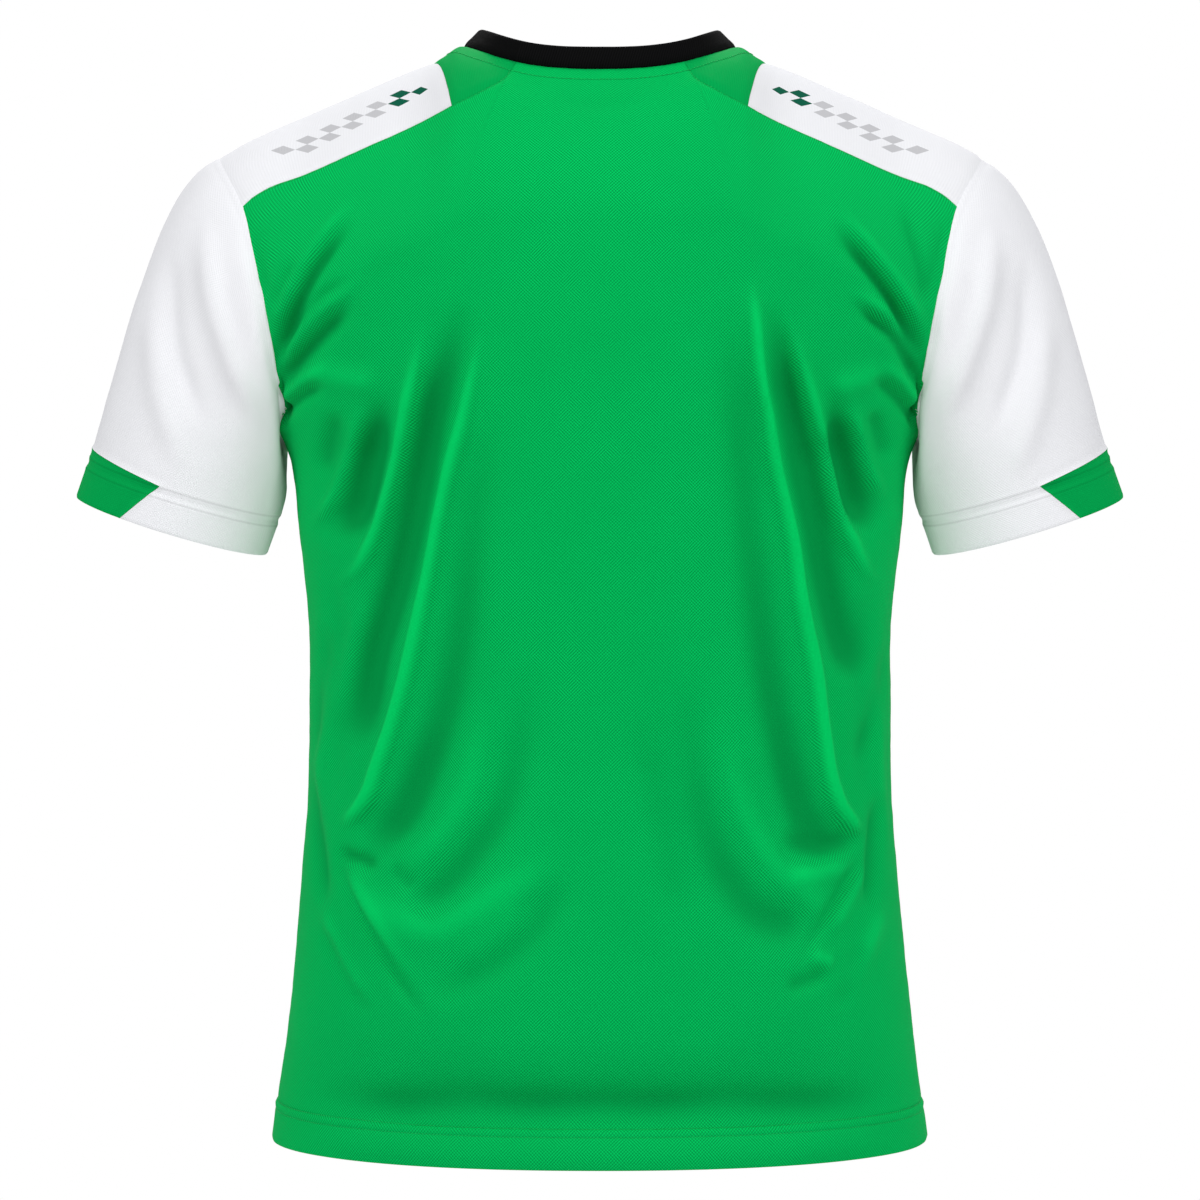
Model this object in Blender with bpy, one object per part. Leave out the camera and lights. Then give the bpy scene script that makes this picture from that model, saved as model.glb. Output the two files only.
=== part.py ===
"""A short-sleeved football jersey in the shape it has when worn, with no wearer in it.

Every piece that is cut and sewn is one closed cloth wall. The whole garment is first laid out as one
net of four-sided cells on the cloth's middle surface, so that neighbours share their seam points. Each
piece's cells are then given their thickness and drawn back from the seams by half the seam gap.

Frame: metres, +Z up, origin at the middle of the neck, level with the highest points of the shoulders.
+X is the wearer's right, -Y the wearer's back, +Y the wearer's front.
"""

import math

import bpy
import numpy as np

# Cloth
CLOTH = 0.0017              # wall of the jersey knit
COLLAR_CLOTH = 0.0024       # wall of the doubled collar band
SEAM_GAP = 0.0003           # between two pieces at their seam
MOST_REACH = 2.0            # how far a wall's corner may reach in a sharp fold, in half walls
SEAM_SHARE = 0.35           # how much of a fold's depth is left on the seam of a sleeve

# Body
HEM_Z = -0.7175
HEM_CORNER = 0.0030         # the hem is this much higher at the side seams
ARMPIT_Z = -0.250
CORNER_Z = -0.1020          # where the yoke seam meets the armhole
TIP_X = 0.2534              # top of the armhole, on the ridge of the shoulder
BOXINESS = 0.96             # power of a body ring: 1 is an ellipse, less is boxier
ARMHOLE_REACH = 0.0655      # from the shoulder ridge to the armhole's back edge
ARMHOLE_BOWL = 0.100        # height of the armhole's round lower part
ARMHOLE_SPREAD = 0.0875     # how much wider the armhole gets per metre above that
BACK, FRONT = -1, 1

# height, half width of the body's ring; above the armpit the ring runs on past the armhole
HALF_WIDTHS = (
    (-0.7175, 0.2166),
    (-0.6910, 0.2133),
    (-0.6510, 0.2079),
    (-0.6110, 0.2033),
    (-0.5710, 0.1996),
    (-0.5310, 0.1963),
    (-0.4910, 0.1933),
    (-0.4480, 0.1920),
    (-0.3980, 0.1920),
    (-0.3450, 0.1953),
    (-0.3050, 0.1998),
    (-0.2800, 0.2018),
    (-0.2650, 0.2045),
    (-0.2500, 0.2100),
    (-0.2312, 0.2195),
    (-0.2008, 0.2361),
    (-0.1697, 0.2510),
    (-0.1386, 0.2639),
    (-0.1020, 0.2833),
    (-0.0658, 0.3171),
    (0.0200, 0.4200),
)

# height, reach of the back behind the side seams, reach of the front before them
REACHES = (
    (-0.7175, 0.1335, 0.1220),
    (-0.7050, 0.1295, 0.1205),
    (-0.6890, 0.1240, 0.1180),
    (-0.6350, 0.1320, 0.1225),
    (-0.5800, 0.1280, 0.1185),
    (-0.5000, 0.1210, 0.1140),
    (-0.4200, 0.1180, 0.1150),
    (-0.3000, 0.1205, 0.1210),
    (-0.1900, 0.1230, 0.1260),
    (-0.1200, 0.1200, 0.1230),
    (-0.0500, 0.1160, 0.1180),
    (0.0200, 0.1220, 0.1180),
)

# distance from the middle, height of the shoulder's ridge
RIDGE = (
    (0.0000, 0.0083),
    (0.0900, 0.0083),
    (0.0955, 0.0072),
    (0.1010, 0.0034),
    (0.1080, -0.0012),
    (0.1250, -0.0076),
    (0.1490, -0.0177),
    (0.1950, -0.0377),
    (0.2175, -0.0474),
    (0.2380, -0.0569),
    (0.2534, -0.0660),
    (0.2700, -0.0780),
)

# drop from the ridge to where the body hangs upright: at the middle, at the tip of the shoulder
ARCH_DROPS = {BACK: (0.1245, 0.1300), FRONT: (0.2570, 0.1450)}

# distance from the middle, how much narrower the arch is near its ridge than a quarter of an ellipse
ARCH_PINCHES = (
    (0.0000, 0.05),
    (0.0700, 0.05),
    (0.1000, 0.30),
    (0.1300, 0.50),
    (0.1900, 0.50),
    (0.2350, 0.35),
    (0.2700, 0.30),
)

# Neck: height = floor + rise * (share of the half width) ** power
NECK_HALF_WIDTH = 0.0900
NECK_SHAPE = {BACK: (-0.0146, 0.0229, 2.6), FRONT: (-0.0600, 0.0683, 2.3)}
NECK_JUNCTION = {BACK: 0.0544, FRONT: 0.0763}     # distance from the middle where the yoke seam starts

# distance from the middle, height of the yoke seam, from the neck to the armhole
YOKE_SEAMS = {
    BACK: (
        (0.0613, -0.0210),
        (0.0720, -0.0280),
        (0.0956, -0.0396),
        (0.1285, -0.0544),
        (0.1612, -0.0683),
        (0.1942, -0.0820),
        (0.2176, -0.0901),
        (0.2280, -0.0965),
    ),
    FRONT: (
        (0.0840, -0.0210),
        (0.1060, -0.0400),
        (0.1612, -0.0690),
        (0.1942, -0.0820),
        (0.2176, -0.0901),
        (0.2280, -0.0965),
    ),
}
INSERT_EDGE = {BACK: 0.0956, FRONT: 0.1060}       # outer end of the insert on each yoke seam
INSERT_RIDGE = 0.1115                             # and on the ridge

# Collar band: how far its top edge lies from the neck seam (inwards, up)
COLLAR_SIDE = (0.0110, 0.0112)
COLLAR_BACK = (0.0050, 0.0150)
COLLAR_FRONT = (0.0090, 0.0130)

# Sleeve
CUFF_CENTRE = np.array([0.2858, 0.0120, -0.3083])
CUFF_OUT = np.array([0.9553, 0.0, 0.2957])        # towards the outermost point of the cuff
ARM_AXIS = np.array([0.2935, 0.1200, -0.9484])    # down the arm
CUFF_HALF_WIDTH = 0.0660
CUFF_HALF_DEPTH = 0.0500
CUFF_TAPER = -0.005                               # the cuff's half width grows by this per metre up the arm
CUFF_LEAN = 0.042                                 # and its middle moves in by this
HEM_DEPTH = 0.0288                                # turned-up hem of the cuff
WEDGE_RISE = 0.0060                               # the insert reaches this much above the hem outside
WEDGE_TOP = 81.0                                  # half angle of the insert at its upper edge
WEDGE_FOOT = 64.0                                 # and at the cuff's edge
CORNER_TURN = 52.0                                # angle round the cuff opposite the yoke corner

# angle round the sleeve from its outermost line, direction out of the armhole (out, back or front,
# down), pull at the armhole, pull at the cuff
SLEEVE_PULLS = (
    (0.0, 0.92, 0.00, 0.41, 0.146, 0.222),
    (52.0, 0.89, 0.05, 0.46, 0.126, 0.185),
    (90.0, 0.80, 0.30, 0.50, 0.080, 0.130),
    (130.0, 0.50, 0.50, 0.70, 0.055, 0.085),
    (155.0, 0.10, 0.50, 0.86, 0.050, 0.080),
    (180.0, 0.75, 0.00, 0.66, 0.026, 0.100),
)

# Net: cells in each stretch
BODY_ROWS = 18              # hem to armpit
ARMHOLE_ROWS = 13           # armpit to yoke corner
NECK_COLUMNS = 6            # middle of the neck to the yoke seam
INSERT_COLUMNS = 3
SHOULDER_COLUMNS = 6
STRIP_ROWS = 6              # yoke seam to ridge
SLEEVE_ROWS = 9             # armhole to the cuff's hem
CUFF_ROWS = 3
COLLAR_ROWS = 3
WEDGE_EXTRA = 2             # armhole columns between the yoke corner and the edge of the cuff insert

GREEN = (0.006, 0.420, 0.085, 1.0)
WHITE = (0.860, 0.860, 0.880, 1.0)
BLACK = (0.006, 0.006, 0.006, 1.0)

# Main folds of the cloth. Each is a soft ridge (height above 0) or trough (below 0) along a path.
# tube, half, height in mm, half width in mm, path as (x, z) in mm
FOLDS = (
    # back, wearer's left
    ("body", "back", -5.0, 11, ((-168, -127), (-184, -153), (-200, -184), (-206, -197))),
    ("body", "back", -3.0, 9, ((-161, -178), (-184, -194), (-200, -216))),
    ("body", "back", -3.5, 15, ((-101, -192), (-111, -250), (-124, -308), (-140, -372), (-153, -447))),
    ("body", "back", 3.5, 13, ((-114, -232), (-127, -277), (-140, -321), (-162, -346))),
    ("body", "back", -4.0, 16, ((-140, -240), (-146, -280), (-158, -310), (-180, -330))),
    ("body", "back", 5.0, 15, ((-86, -200), (-98, -264), (-108, -333), (-121, -397), (-137, -454), (-160, -517))),
    ("body", "back", -5.5, 17, ((-76, -296), (-89, -359), (-101, -422), (-117, -473), (-146, -522))),
    ("body", "back", 3.0, 16, ((-70, -440), (-95, -487), (-108, -517), (-121, -543))),
    ("body", "back", -3.5, 17, ((-51, -434), (-63, -485), (-89, -530), (-114, -552))),
    ("body", "back", 3.5, 17, ((-25, -517), (-51, -549), (-82, -580), (-114, -590))),
    # back, wearer's right
    ("body", "back", -6.0, 11, ((152, -130), (168, -146), (187, -172), (200, -200))),
    ("body", "back", -3.5, 9, ((165, -168), (184, -182), (200, -204))),
    ("body", "back", -4.5, 15, ((104, -200), (120, -240), (133, -285), (144, -340), (160, -385))),
    ("body", "back", 5.5, 14, ((92, -190), (105, -245), (117, -310), (130, -371), (143, -435), (158, -507))),
    ("body", "back", 4.0, 13, ((127, -210), (143, -260), (158, -310), (175, -355))),
    ("body", "back", -5.5, 17, ((98, -264), (108, -333), (117, -400), (130, -460), (152, -514))),
    ("body", "back", -4.0, 18, ((63, -454), (76, -504), (98, -545), (130, -566))),
    ("body", "back", 3.0, 18, ((84, -440), (98, -490), (120, -530), (150, -545))),
    # front, plain soft hangs like those of the back
    ("body", "front", -4.5, 14, ((-205, -190), (-180, -165), (-150, -150))),
    ("body", "front", 4.0, 18, ((-100, -220), (-118, -330), (-135, -440), (-150, -520))),
    ("body", "front", -4.0, 18, ((-80, -290), (-95, -400), (-112, -500), (-130, -560))),
    ("body", "front", -3.5, 16, ((-145, -250), (-155, -330), (-160, -400))),
    ("body", "front", -4.5, 14, ((205, -195), (178, -168), (152, -155))),
    ("body", "front", 4.0, 18, ((95, -215), (112, -320), (132, -430), (146, -515))),
    ("body", "front", -4.0, 18, ((72, -280), (92, -390), (106, -490), (124, -550))),
    ("body", "front", -3.5, 16, ((140, -245), (150, -320), (158, -395))),
    # sleeves, wearer's left then right
    ("sleeve", "back", -3.0, 9, ((-268, -120), (-264, -155), (-252, -190), (-236, -220), (-222, -245))),
    ("sleeve", "back", 3.0, 8, ((-264, -105), (-262, -140), (-248, -180), (-230, -210), (-214, -235))),
    ("sleeve", "back", -3.0, 10, ((-290, -180), (-288, -220), (-280, -255), (-272, -280))),
    ("sleeve", "back", 2.5, 11, ((-286, -150), (-282, -195), (-268, -235), (-252, -268))),
    ("sleeve", "back", -3.0, 9, ((268, -120), (264, -155), (252, -190), (236, -220), (222, -245))),
    ("sleeve", "back", 3.0, 8, ((264, -105), (262, -140), (248, -180), (230, -210), (214, -235))),
    ("sleeve", "back", -3.0, 10, ((290, -180), (288, -220), (280, -255), (272, -280))),
    ("sleeve", "back", 2.5, 11, ((286, -150), (282, -195), (268, -235), (252, -268))),
    ("sleeve", "front", -3.0, 12, ((-262, -130), (-254, -170), (-240, -210), (-226, -240))),
    ("sleeve", "front", 2.5, 13, ((-284, -150), (-280, -200), (-264, -245))),
    ("sleeve", "front", -3.0, 12, ((262, -130), (254, -170), (240, -210), (226, -240))),
    ("sleeve", "front", 2.5, 13, ((284, -150), (280, -200), (264, -245))),
)


# ------------------------------------------------------------------ curves and tables

def smooth(table, column, at):
    """Reads a table's column at the given keys along a smooth curve through its rows."""
    keys = np.array([row[0] for row in table])
    values = np.array([row[column] for row in table])
    at = np.clip(np.asarray(at, dtype=float), keys[0], keys[-1])
    step = np.diff(keys)
    slope = np.diff(values) / step
    lean = np.concatenate(([slope[0]], np.zeros(len(keys) - 2), [slope[-1]]))
    inner = slope[:-1] * slope[1:] > 0
    weights = step[:-1] + step[1:]
    mean = (slope[:-1] * step[1:] + slope[1:] * step[:-1]) / weights
    cap = 3 * np.minimum(np.abs(slope[:-1]), np.abs(slope[1:]))
    lean[1:-1] = np.where(inner, np.clip(mean, -cap, cap), 0.0)
    i = np.clip(np.searchsorted(keys, at, side="right") - 1, 0, len(keys) - 2)
    t = (at - keys[i]) / step[i]
    return (
        values[i] * (1 + 2 * t) * (1 - t) ** 2
        + values[i + 1] * t * t * (3 - 2 * t)
        + step[i] * (lean[i] * t * (1 - t) ** 2 - lean[i + 1] * t * t * (1 - t))
    )


def through(points, count):
    """Points at even steps along a rounded curve through the given ones."""
    points = np.asarray(points, dtype=float)
    lengths = np.concatenate(([0.0], np.cumsum(np.linalg.norm(np.diff(points, axis=0), axis=1))))
    rows = [(length, *point) for length, point in zip(lengths, points)]
    fine = np.linspace(0.0, lengths[-1], 40 * len(points))
    curve = np.column_stack([smooth(rows, k + 1, fine) for k in range(points.shape[1])])
    return even_steps(curve, count)


def even_steps(curve, count):
    """Resamples a finely drawn curve to count cells of equal length."""
    lengths = np.concatenate(([0.0], np.cumsum(np.linalg.norm(np.diff(curve, axis=0), axis=1))))
    at = np.linspace(0.0, lengths[-1], count + 1)
    return np.column_stack([np.interp(at, lengths, curve[:, k]) for k in range(curve.shape[1])])


def coons(foot, head, left, right):
    """Fills the four-sided space between two rows and two columns of points that share their corners."""
    across = np.linspace(0.0, 1.0, len(foot))[None, :, None]
    up = np.linspace(0.0, 1.0, len(left))[:, None, None]
    rows = (1 - up) * foot[None] + up * head[None]
    columns = (1 - across) * left[:, None] + across * right[:, None]
    low = (1 - across) * foot[0] + across * foot[-1]
    high = (1 - across) * head[0] + across * head[-1]
    return rows + columns - (1 - up) * low - up * high


# ------------------------------------------------------------------ the body's surface

def armhole_reach(z):
    """How far the body's ring is from the side line at its edge: nothing below the armpit."""
    turn = np.clip((z - ARMPIT_Z) / ARMHOLE_BOWL, 0.0, 1.0)
    spread = np.maximum(z - ARMPIT_Z - ARMHOLE_BOWL, 0.0) * ARMHOLE_SPREAD
    return ARMHOLE_REACH * np.sqrt(1 - (1 - turn) ** 2) + spread


def ring_reach(z, side):
    return smooth(REACHES, 1 if side == BACK else 2, z)


def edge_angle(z, side):
    """Angle of a body ring from the middle line to the ring's edge."""
    return np.arccos((armhole_reach(z) / ring_reach(z, side)) ** (1 / BOXINESS))


def ring_angle(x, z):
    sine = (np.abs(x) / smooth(HALF_WIDTHS, 1, z)) ** (1 / BOXINESS)
    return np.arcsin(np.clip(sine, 0.0, 1.0))


def ring_share(x, z, side):
    """Where x lies along its ring: 0 at the middle line, 1 at the edge."""
    return np.sign(x) * ring_angle(x, z) / edge_angle(z, side)


def ring_x(share, z, side):
    turn = np.abs(share) * edge_angle(z, side)
    return np.sign(share) * smooth(HALF_WIDTHS, 1, z) * np.sin(turn) ** BOXINESS


def ridge_height(x):
    return smooth(RIDGE, 1, np.abs(x))


def arch_drop(x, side):
    middle, tip = ARCH_DROPS[side]
    return middle + (tip - middle) * np.abs(x) / TIP_X


def arch_angle(x, z, side):
    """Angle of the arch over the shoulder: 0 on the ridge, a quarter turn where the body hangs upright."""
    fall = np.clip((ridge_height(x) - z) / arch_drop(x, side), 0.0, 1.0)
    return np.arccos(1 - fall)


def arch_height(x, angle, side):
    return ridge_height(x) - arch_drop(x, side) * (1 - np.cos(angle))


def arch_share(x, angle):
    """How much of its full reach the arch has at an angle: it leaves the ridge in a tight curve."""
    pinch = smooth(ARCH_PINCHES, 1, np.abs(x))
    return np.sin(angle) * (1 - pinch * np.cos(angle) ** 1.5)


def body_point(x, z, side):
    """The point of the back or front that lies at x and z."""
    reach = ring_reach(z, side) * np.cos(ring_angle(x, z)) ** BOXINESS
    return np.stack([x, side * reach * arch_share(x, arch_angle(x, z, side)), z], axis=-1)


# ------------------------------------------------------------------ seam lines, on the wearer's right

def armhole_line(side, count):
    """Heights of the armhole's points from the armpit up to the yoke corner."""
    turn = np.linspace(0.0, 0.5 * math.pi, 200)
    bowl = ARMPIT_Z + ARMHOLE_BOWL * (1 - np.cos(turn))
    z = np.concatenate((bowl, np.linspace(bowl[-1], CORNER_Z, 60)[1:]))
    points = body_point(ring_x(1.0, z, side), z, side)
    return even_steps(points, count)[:, 2]


def shoulder_end(side, count):
    """Armhole from the yoke corner to the tip on the ridge, as (x, arch angle)."""
    x = np.linspace(float(ring_x(1.0, CORNER_Z, side)), TIP_X, 80)
    start = float(arch_angle(x[0], CORNER_Z, side))
    share = (x - x[0]) / (x[-1] - x[0])
    angle = start * np.sqrt(np.clip(1 - share, 0.0, 1.0)) * (1 - 0.12 * share * (1 - share))
    curve = np.column_stack((x, angle))
    z = arch_height(x, angle, side)
    place = body_point(x, z, side)
    lengths = np.concatenate(([0.0], np.cumsum(np.linalg.norm(np.diff(place, axis=0), axis=1))))
    at = np.linspace(0.0, lengths[-1], count + 1)
    return np.column_stack([np.interp(at, lengths, curve[:, k]) for k in range(2)])


def neck_height(x, side):
    floor, rise, power = NECK_SHAPE[side]
    return floor + rise * (np.abs(x) / NECK_HALF_WIDTH) ** power


def neck_line(side, start, end, count):
    """Neck seam between two distances from the middle, as (x, z)."""
    first = math.asin(start / NECK_HALF_WIDTH)
    last = math.asin(end / NECK_HALF_WIDTH)
    x = NECK_HALF_WIDTH * np.sin(np.linspace(first, last, count + 1))
    return np.column_stack((x, neck_height(x, side)))


def yoke_seam(side):
    """Yoke seam from the neck to the armhole, as (x, z), with a point at each column of cells."""
    start = (NECK_JUNCTION[side], float(neck_height(NECK_JUNCTION[side], side)))
    corner = (float(ring_x(1.0, CORNER_Z, side)), CORNER_Z)
    points = (start, *YOKE_SEAMS[side], corner)
    fine = through(points, 600)
    split = int(np.argmin(np.abs(fine[:, 0] - INSERT_EDGE[side])))
    inner = even_steps(fine[: split + 1], INSERT_COLUMNS)
    outer = even_steps(fine[split:], SHOULDER_COLUMNS)
    return np.vstack((inner, outer[1:]))


def ridge_line():
    """Ridge of the shoulder from the neck to the tip, as (x, arch angle 0)."""
    inner = np.linspace(NECK_HALF_WIDTH, INSERT_RIDGE, INSERT_COLUMNS + 1)
    outer = np.linspace(INSERT_RIDGE, TIP_X, SHOULDER_COLUMNS + 1)
    x = np.concatenate((inner, outer[1:]))
    return np.column_stack((x, np.zeros(len(x))))


# ------------------------------------------------------------------ patches of cells

def lifted_corners(share, height):
    """Points below the armpit as (share of the half width, height), with the hem curved up at its corners."""
    fall = (ARMPIT_Z - height) / (ARMPIT_Z - HEM_Z)
    return np.stack((share, height + HEM_CORNER * fall ** 2 * np.abs(share) ** 3), axis=-1)


def body_patch(side):
    """Back or front: rows from the hem up, columns from the wearer's left to the right."""
    half = NECK_COLUMNS + INSERT_COLUMNS + SHOULDER_COLUMNS
    share = np.linspace(-1.0, 1.0, 2 * half + 1)
    low_z = np.linspace(HEM_Z, ARMPIT_Z, BODY_ROWS + 1)
    low = lifted_corners(*np.meshgrid(share, low_z))

    armhole = armhole_line(side, ARMHOLE_ROWS)
    right = np.column_stack((np.ones(len(armhole)), armhole))
    left = right * (-1, 1)
    neck = neck_line(side, 0.0, NECK_JUNCTION[side], NECK_COLUMNS)
    outline = np.vstack((neck, yoke_seam(side)[1:]))
    head_share = ring_share(outline[:, 0], outline[:, 1], side)
    head_share[-1] = 1.0
    head_right = np.column_stack((head_share, outline[:, 1]))
    head = np.vstack((head_right[:0:-1] * (-1, 1), head_right))
    high = coons(low[-1], head, left, right)

    net = np.vstack((low, high[1:]))
    x = ring_x(net[..., 0], net[..., 1], side)
    return body_point(x, net[..., 1], side)


def strip_half(side):
    """Half of the shoulder strip: rows from the yoke seam to the ridge, columns from the neck outwards."""
    seam = yoke_seam(side)
    foot = np.column_stack((seam[:, 0], arch_angle(seam[:, 0], seam[:, 1], side)))
    head = ridge_line()
    neck = neck_line(side, NECK_JUNCTION[side], NECK_HALF_WIDTH, STRIP_ROWS)
    left = np.column_stack((neck[:, 0], arch_angle(neck[:, 0], neck[:, 1], side)))
    right = shoulder_end(side, STRIP_ROWS)
    edge = INSERT_COLUMNS
    up = np.linspace(0.0, 1.0, STRIP_ROWS + 1)[:, None]
    border = (1 - up) * foot[edge] + up * head[edge]
    insert = coons(foot[: edge + 1], head[: edge + 1], left, border)
    panel = coons(foot[edge:], head[edge:], border, right)
    net = np.concatenate((insert, panel[:, 1:]), axis=1)
    x, angle = net[..., 0], net[..., 1]
    return body_point(x, arch_height(x, angle, side), side)


def strip_patch():
    """The strip over the right shoulder, from the back yoke seam over the ridge to the front one."""
    back, front = strip_half(BACK), strip_half(FRONT)
    return np.vstack((back, front[-2::-1]))


def armhole_loop(back, front, strip):
    """Points round the right armhole: armpit, back, over the shoulder, front, back at the armpit."""
    rise_back = back[BODY_ROWS:, -1]
    over = strip[:, -1]
    fall_front = front[BODY_ROWS:, -1][::-1]
    return np.vstack((rise_back, over[1:], fall_front[1:]))


def sleeve_turns():
    """Angle round the sleeve for each point of the armhole loop: 180 at the armpit, 0 at the tip."""
    under = np.linspace(180.0, WEDGE_TOP, ARMHOLE_ROWS - WEDGE_EXTRA + 1)
    beside = np.linspace(WEDGE_TOP, CORNER_TURN, WEDGE_EXTRA + 1)
    over = np.linspace(CORNER_TURN, 0.0, STRIP_ROWS + 1)
    half = np.concatenate((under, beside[1:], over[1:]))
    return np.concatenate((-half, half[-2::-1]))


def cuff_point(turn, height):
    """A point of the cuff at an angle round it and a height above its edge; negative turns are at the back."""
    foot = WEDGE_FOOT / WEDGE_TOP
    squeeze = foot + (1 - foot) * np.clip(height / HEM_DEPTH, 0.0, 1.0)
    size = np.abs(turn)
    inside = size * squeeze
    outside = 180 - (180 - size) * (180 - WEDGE_TOP * squeeze) / (180 - WEDGE_TOP)
    angle = np.radians(np.where(size <= WEDGE_TOP, inside, outside)) * np.sign(turn)
    forward = np.cross(CUFF_OUT, ARM_AXIS)
    wide = CUFF_HALF_WIDTH + CUFF_TAPER * height
    centre = CUFF_CENTRE - (ARM_AXIS + CUFF_OUT * CUFF_LEAN) * height[..., None]
    across = CUFF_OUT * (wide * np.cos(angle))[..., None]
    depth = CUFF_HALF_DEPTH + CUFF_TAPER * height
    return centre + across + forward * (depth * np.sin(angle))[..., None]


def wedge_height(turn):
    """Height of the hem line above the cuff's edge; it rises over the cuff insert."""
    rise = np.cos(np.radians(90.0 * np.clip(np.abs(turn) / WEDGE_TOP, 0.0, 1.0)))
    return HEM_DEPTH + WEDGE_RISE * rise


def sleeve_patch(loop):
    """Right sleeve: rows from the armhole to the cuff's edge, columns round the armhole loop."""
    turn = sleeve_turns()
    size = np.abs(turn)
    out = np.stack([smooth(SLEEVE_PULLS, k, size) for k in (1, 2, 3)], axis=-1)
    out *= np.stack([np.ones(len(turn)), np.sign(turn), -np.ones(len(turn))], axis=-1)
    out *= (smooth(SLEEVE_PULLS, 4, size) / np.linalg.norm(out, axis=-1))[:, None]
    top = wedge_height(turn)
    start, end = loop, cuff_point(turn, top)
    down = cuff_point(turn, top - 0.5 * HEM_DEPTH) - end
    down *= (smooth(SLEEVE_PULLS, 5, size) / np.linalg.norm(down, axis=-1))[:, None]
    rows = []
    for t in np.linspace(0.0, 1.0, SLEEVE_ROWS + 1):
        rows.append(
            start * (1 + 2 * t) * (1 - t) ** 2
            + end * t * t * (3 - 2 * t)
            + out * t * (1 - t) ** 2
            - down * t * t * (1 - t)
        )
    for t in np.linspace(1.0, 0.0, CUFF_ROWS + 1)[1:]:
        rows.append(cuff_point(turn, top * t))
    return np.array(rows)


def collar_patch(loop):
    """Collar band: rows from the neck seam up, columns round the neck."""
    side = np.clip(np.abs(loop[:, 0]) / NECK_HALF_WIDTH, 0.0, 1.0) ** 2
    middle = np.where(loop[:, 1:2] < 0, (COLLAR_BACK,), (COLLAR_FRONT,))
    inward = middle[:, 0] * (1 - side) * -np.sign(loop[:, 1])
    top = np.column_stack(
        (
            -np.sign(loop[:, 0]) * COLLAR_SIDE[0] * side,
            inward,
            middle[:, 1] * (1 - side) + COLLAR_SIDE[1] * side,
        )
    )
    steps = np.linspace(0.0, 1.0, COLLAR_ROWS + 1)
    return np.array([loop + top * (t, t * t, t) for t in steps])


# ------------------------------------------------------------------ the net of the whole garment

class Net:
    """Cells of the cloth's middle surface, with each point kept once."""

    def __init__(self):
        self.points = []
        self.places = {}
        self.cells = []
        self.pieces = []
        self.tubes = []

    def point(self, place):
        key = tuple(round(value * 31416.0) for value in place)
        if key not in self.places:
            self.places[key] = len(self.points)
            self.points.append(place)
        return self.places[key]

    def add(self, patch, name, tube, mirrored=False):
        """Adds a patch's cells. name gives a cell's piece from its row and column; tube says which of the
        garment's tubes the patch is part of: body, sleeve or collar."""
        rows, columns = patch.shape[:2]
        index = [[self.point(tuple(patch[i, j])) for j in range(columns)] for i in range(rows)]
        for i in range(rows - 1):
            for j in range(columns - 1):
                cell = [index[i][j], index[i][j + 1], index[i + 1][j + 1], index[i + 1][j]]
                self.cells.append(cell[::-1] if mirrored else cell)
                self.pieces.append(name(i, j))
                self.tubes.append(tube)


def flipped(patch):
    return patch * np.array([-1.0, 1.0, 1.0])


def jersey_net():
    net = Net()
    back, front, strip = body_patch(BACK), body_patch(FRONT), strip_patch()
    sleeve = sleeve_patch(armhole_loop(back, front, strip))
    turns = sleeve_turns()

    def shoulder_name(hand):
        return lambda i, j: f"shoulder_insert_{hand}" if j < INSERT_COLUMNS else f"shoulder_panel_{hand}"

    def sleeve_name(hand):
        def name(i, j):
            middle = 0.5 * (turns[j] + turns[j + 1])
            in_wedge = i >= SLEEVE_ROWS and abs(middle) < WEDGE_TOP
            return f"cuff_insert_{hand}" if in_wedge else f"sleeve_{hand}"
        return name

    net.add(back, lambda i, j: "back_panel", "body")
    net.add(front, lambda i, j: "front_panel", "body", mirrored=True)
    for hand, turned in (("right", False), ("left", True)):
        shape = flipped if turned else np.copy
        net.add(shape(strip), shoulder_name(hand), "body", mirrored=turned)
        net.add(shape(sleeve), sleeve_name(hand), "sleeve", mirrored=not turned)

    neck_back = back[-1, INSERT_COLUMNS + SHOULDER_COLUMNS:][: 2 * NECK_COLUMNS + 1]
    neck_front = front[-1, INSERT_COLUMNS + SHOULDER_COLUMNS:][: 2 * NECK_COLUMNS + 1]
    right, left = strip[:, 0], flipped(strip)[:, 0]
    loop = np.vstack((neck_back, right[1:], neck_front[::-1][1:], left[::-1][1:]))
    net.add(collar_patch(loop), lambda i, j: "collar", "collar")
    return net


def normals_of(points, cells):
    """Outward direction at each point from the cells around it, and nothing where there are none."""
    corners = points[cells]
    face = np.cross(corners[:, 2] - corners[:, 0], corners[:, 3] - corners[:, 1])
    total = np.zeros_like(points)
    for k in range(4):
        np.add.at(total, cells[:, k], face)
    return total / np.maximum(np.linalg.norm(total, axis=1), 1e-12)[:, None]


def seam_normals(points, cells, tubes):
    """Outward direction at each point, halfway between the tubes where a sleeve or the collar joins the body."""
    total = sum(normals_of(points, cells[tubes == name]) for name in np.unique(tubes))
    return total / np.linalg.norm(total, axis=1)[:, None]


def fold_height(points, path, width):
    """Height, from 0 to 1, of a fold with a rounded section that fades out at both ends of its path."""
    path = through(np.array(path) / 1000.0, 24)
    start, run = path[:-1], np.diff(path, axis=0)
    offset = points[:, None, :] - start[None]
    share = np.clip((offset * run).sum(-1) / (run * run).sum(-1), 0.0, 1.0)
    distance = np.linalg.norm(offset - share[..., None] * run, axis=-1)
    nearest = distance.argmin(axis=1)
    row = np.arange(len(points))
    along = (nearest + share[row, nearest]) / len(run)
    fade = np.sin(math.pi * np.clip(along, 0.0, 1.0)) ** 0.6
    return fade * np.exp(-((distance[row, nearest] / width) ** 2))


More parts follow.
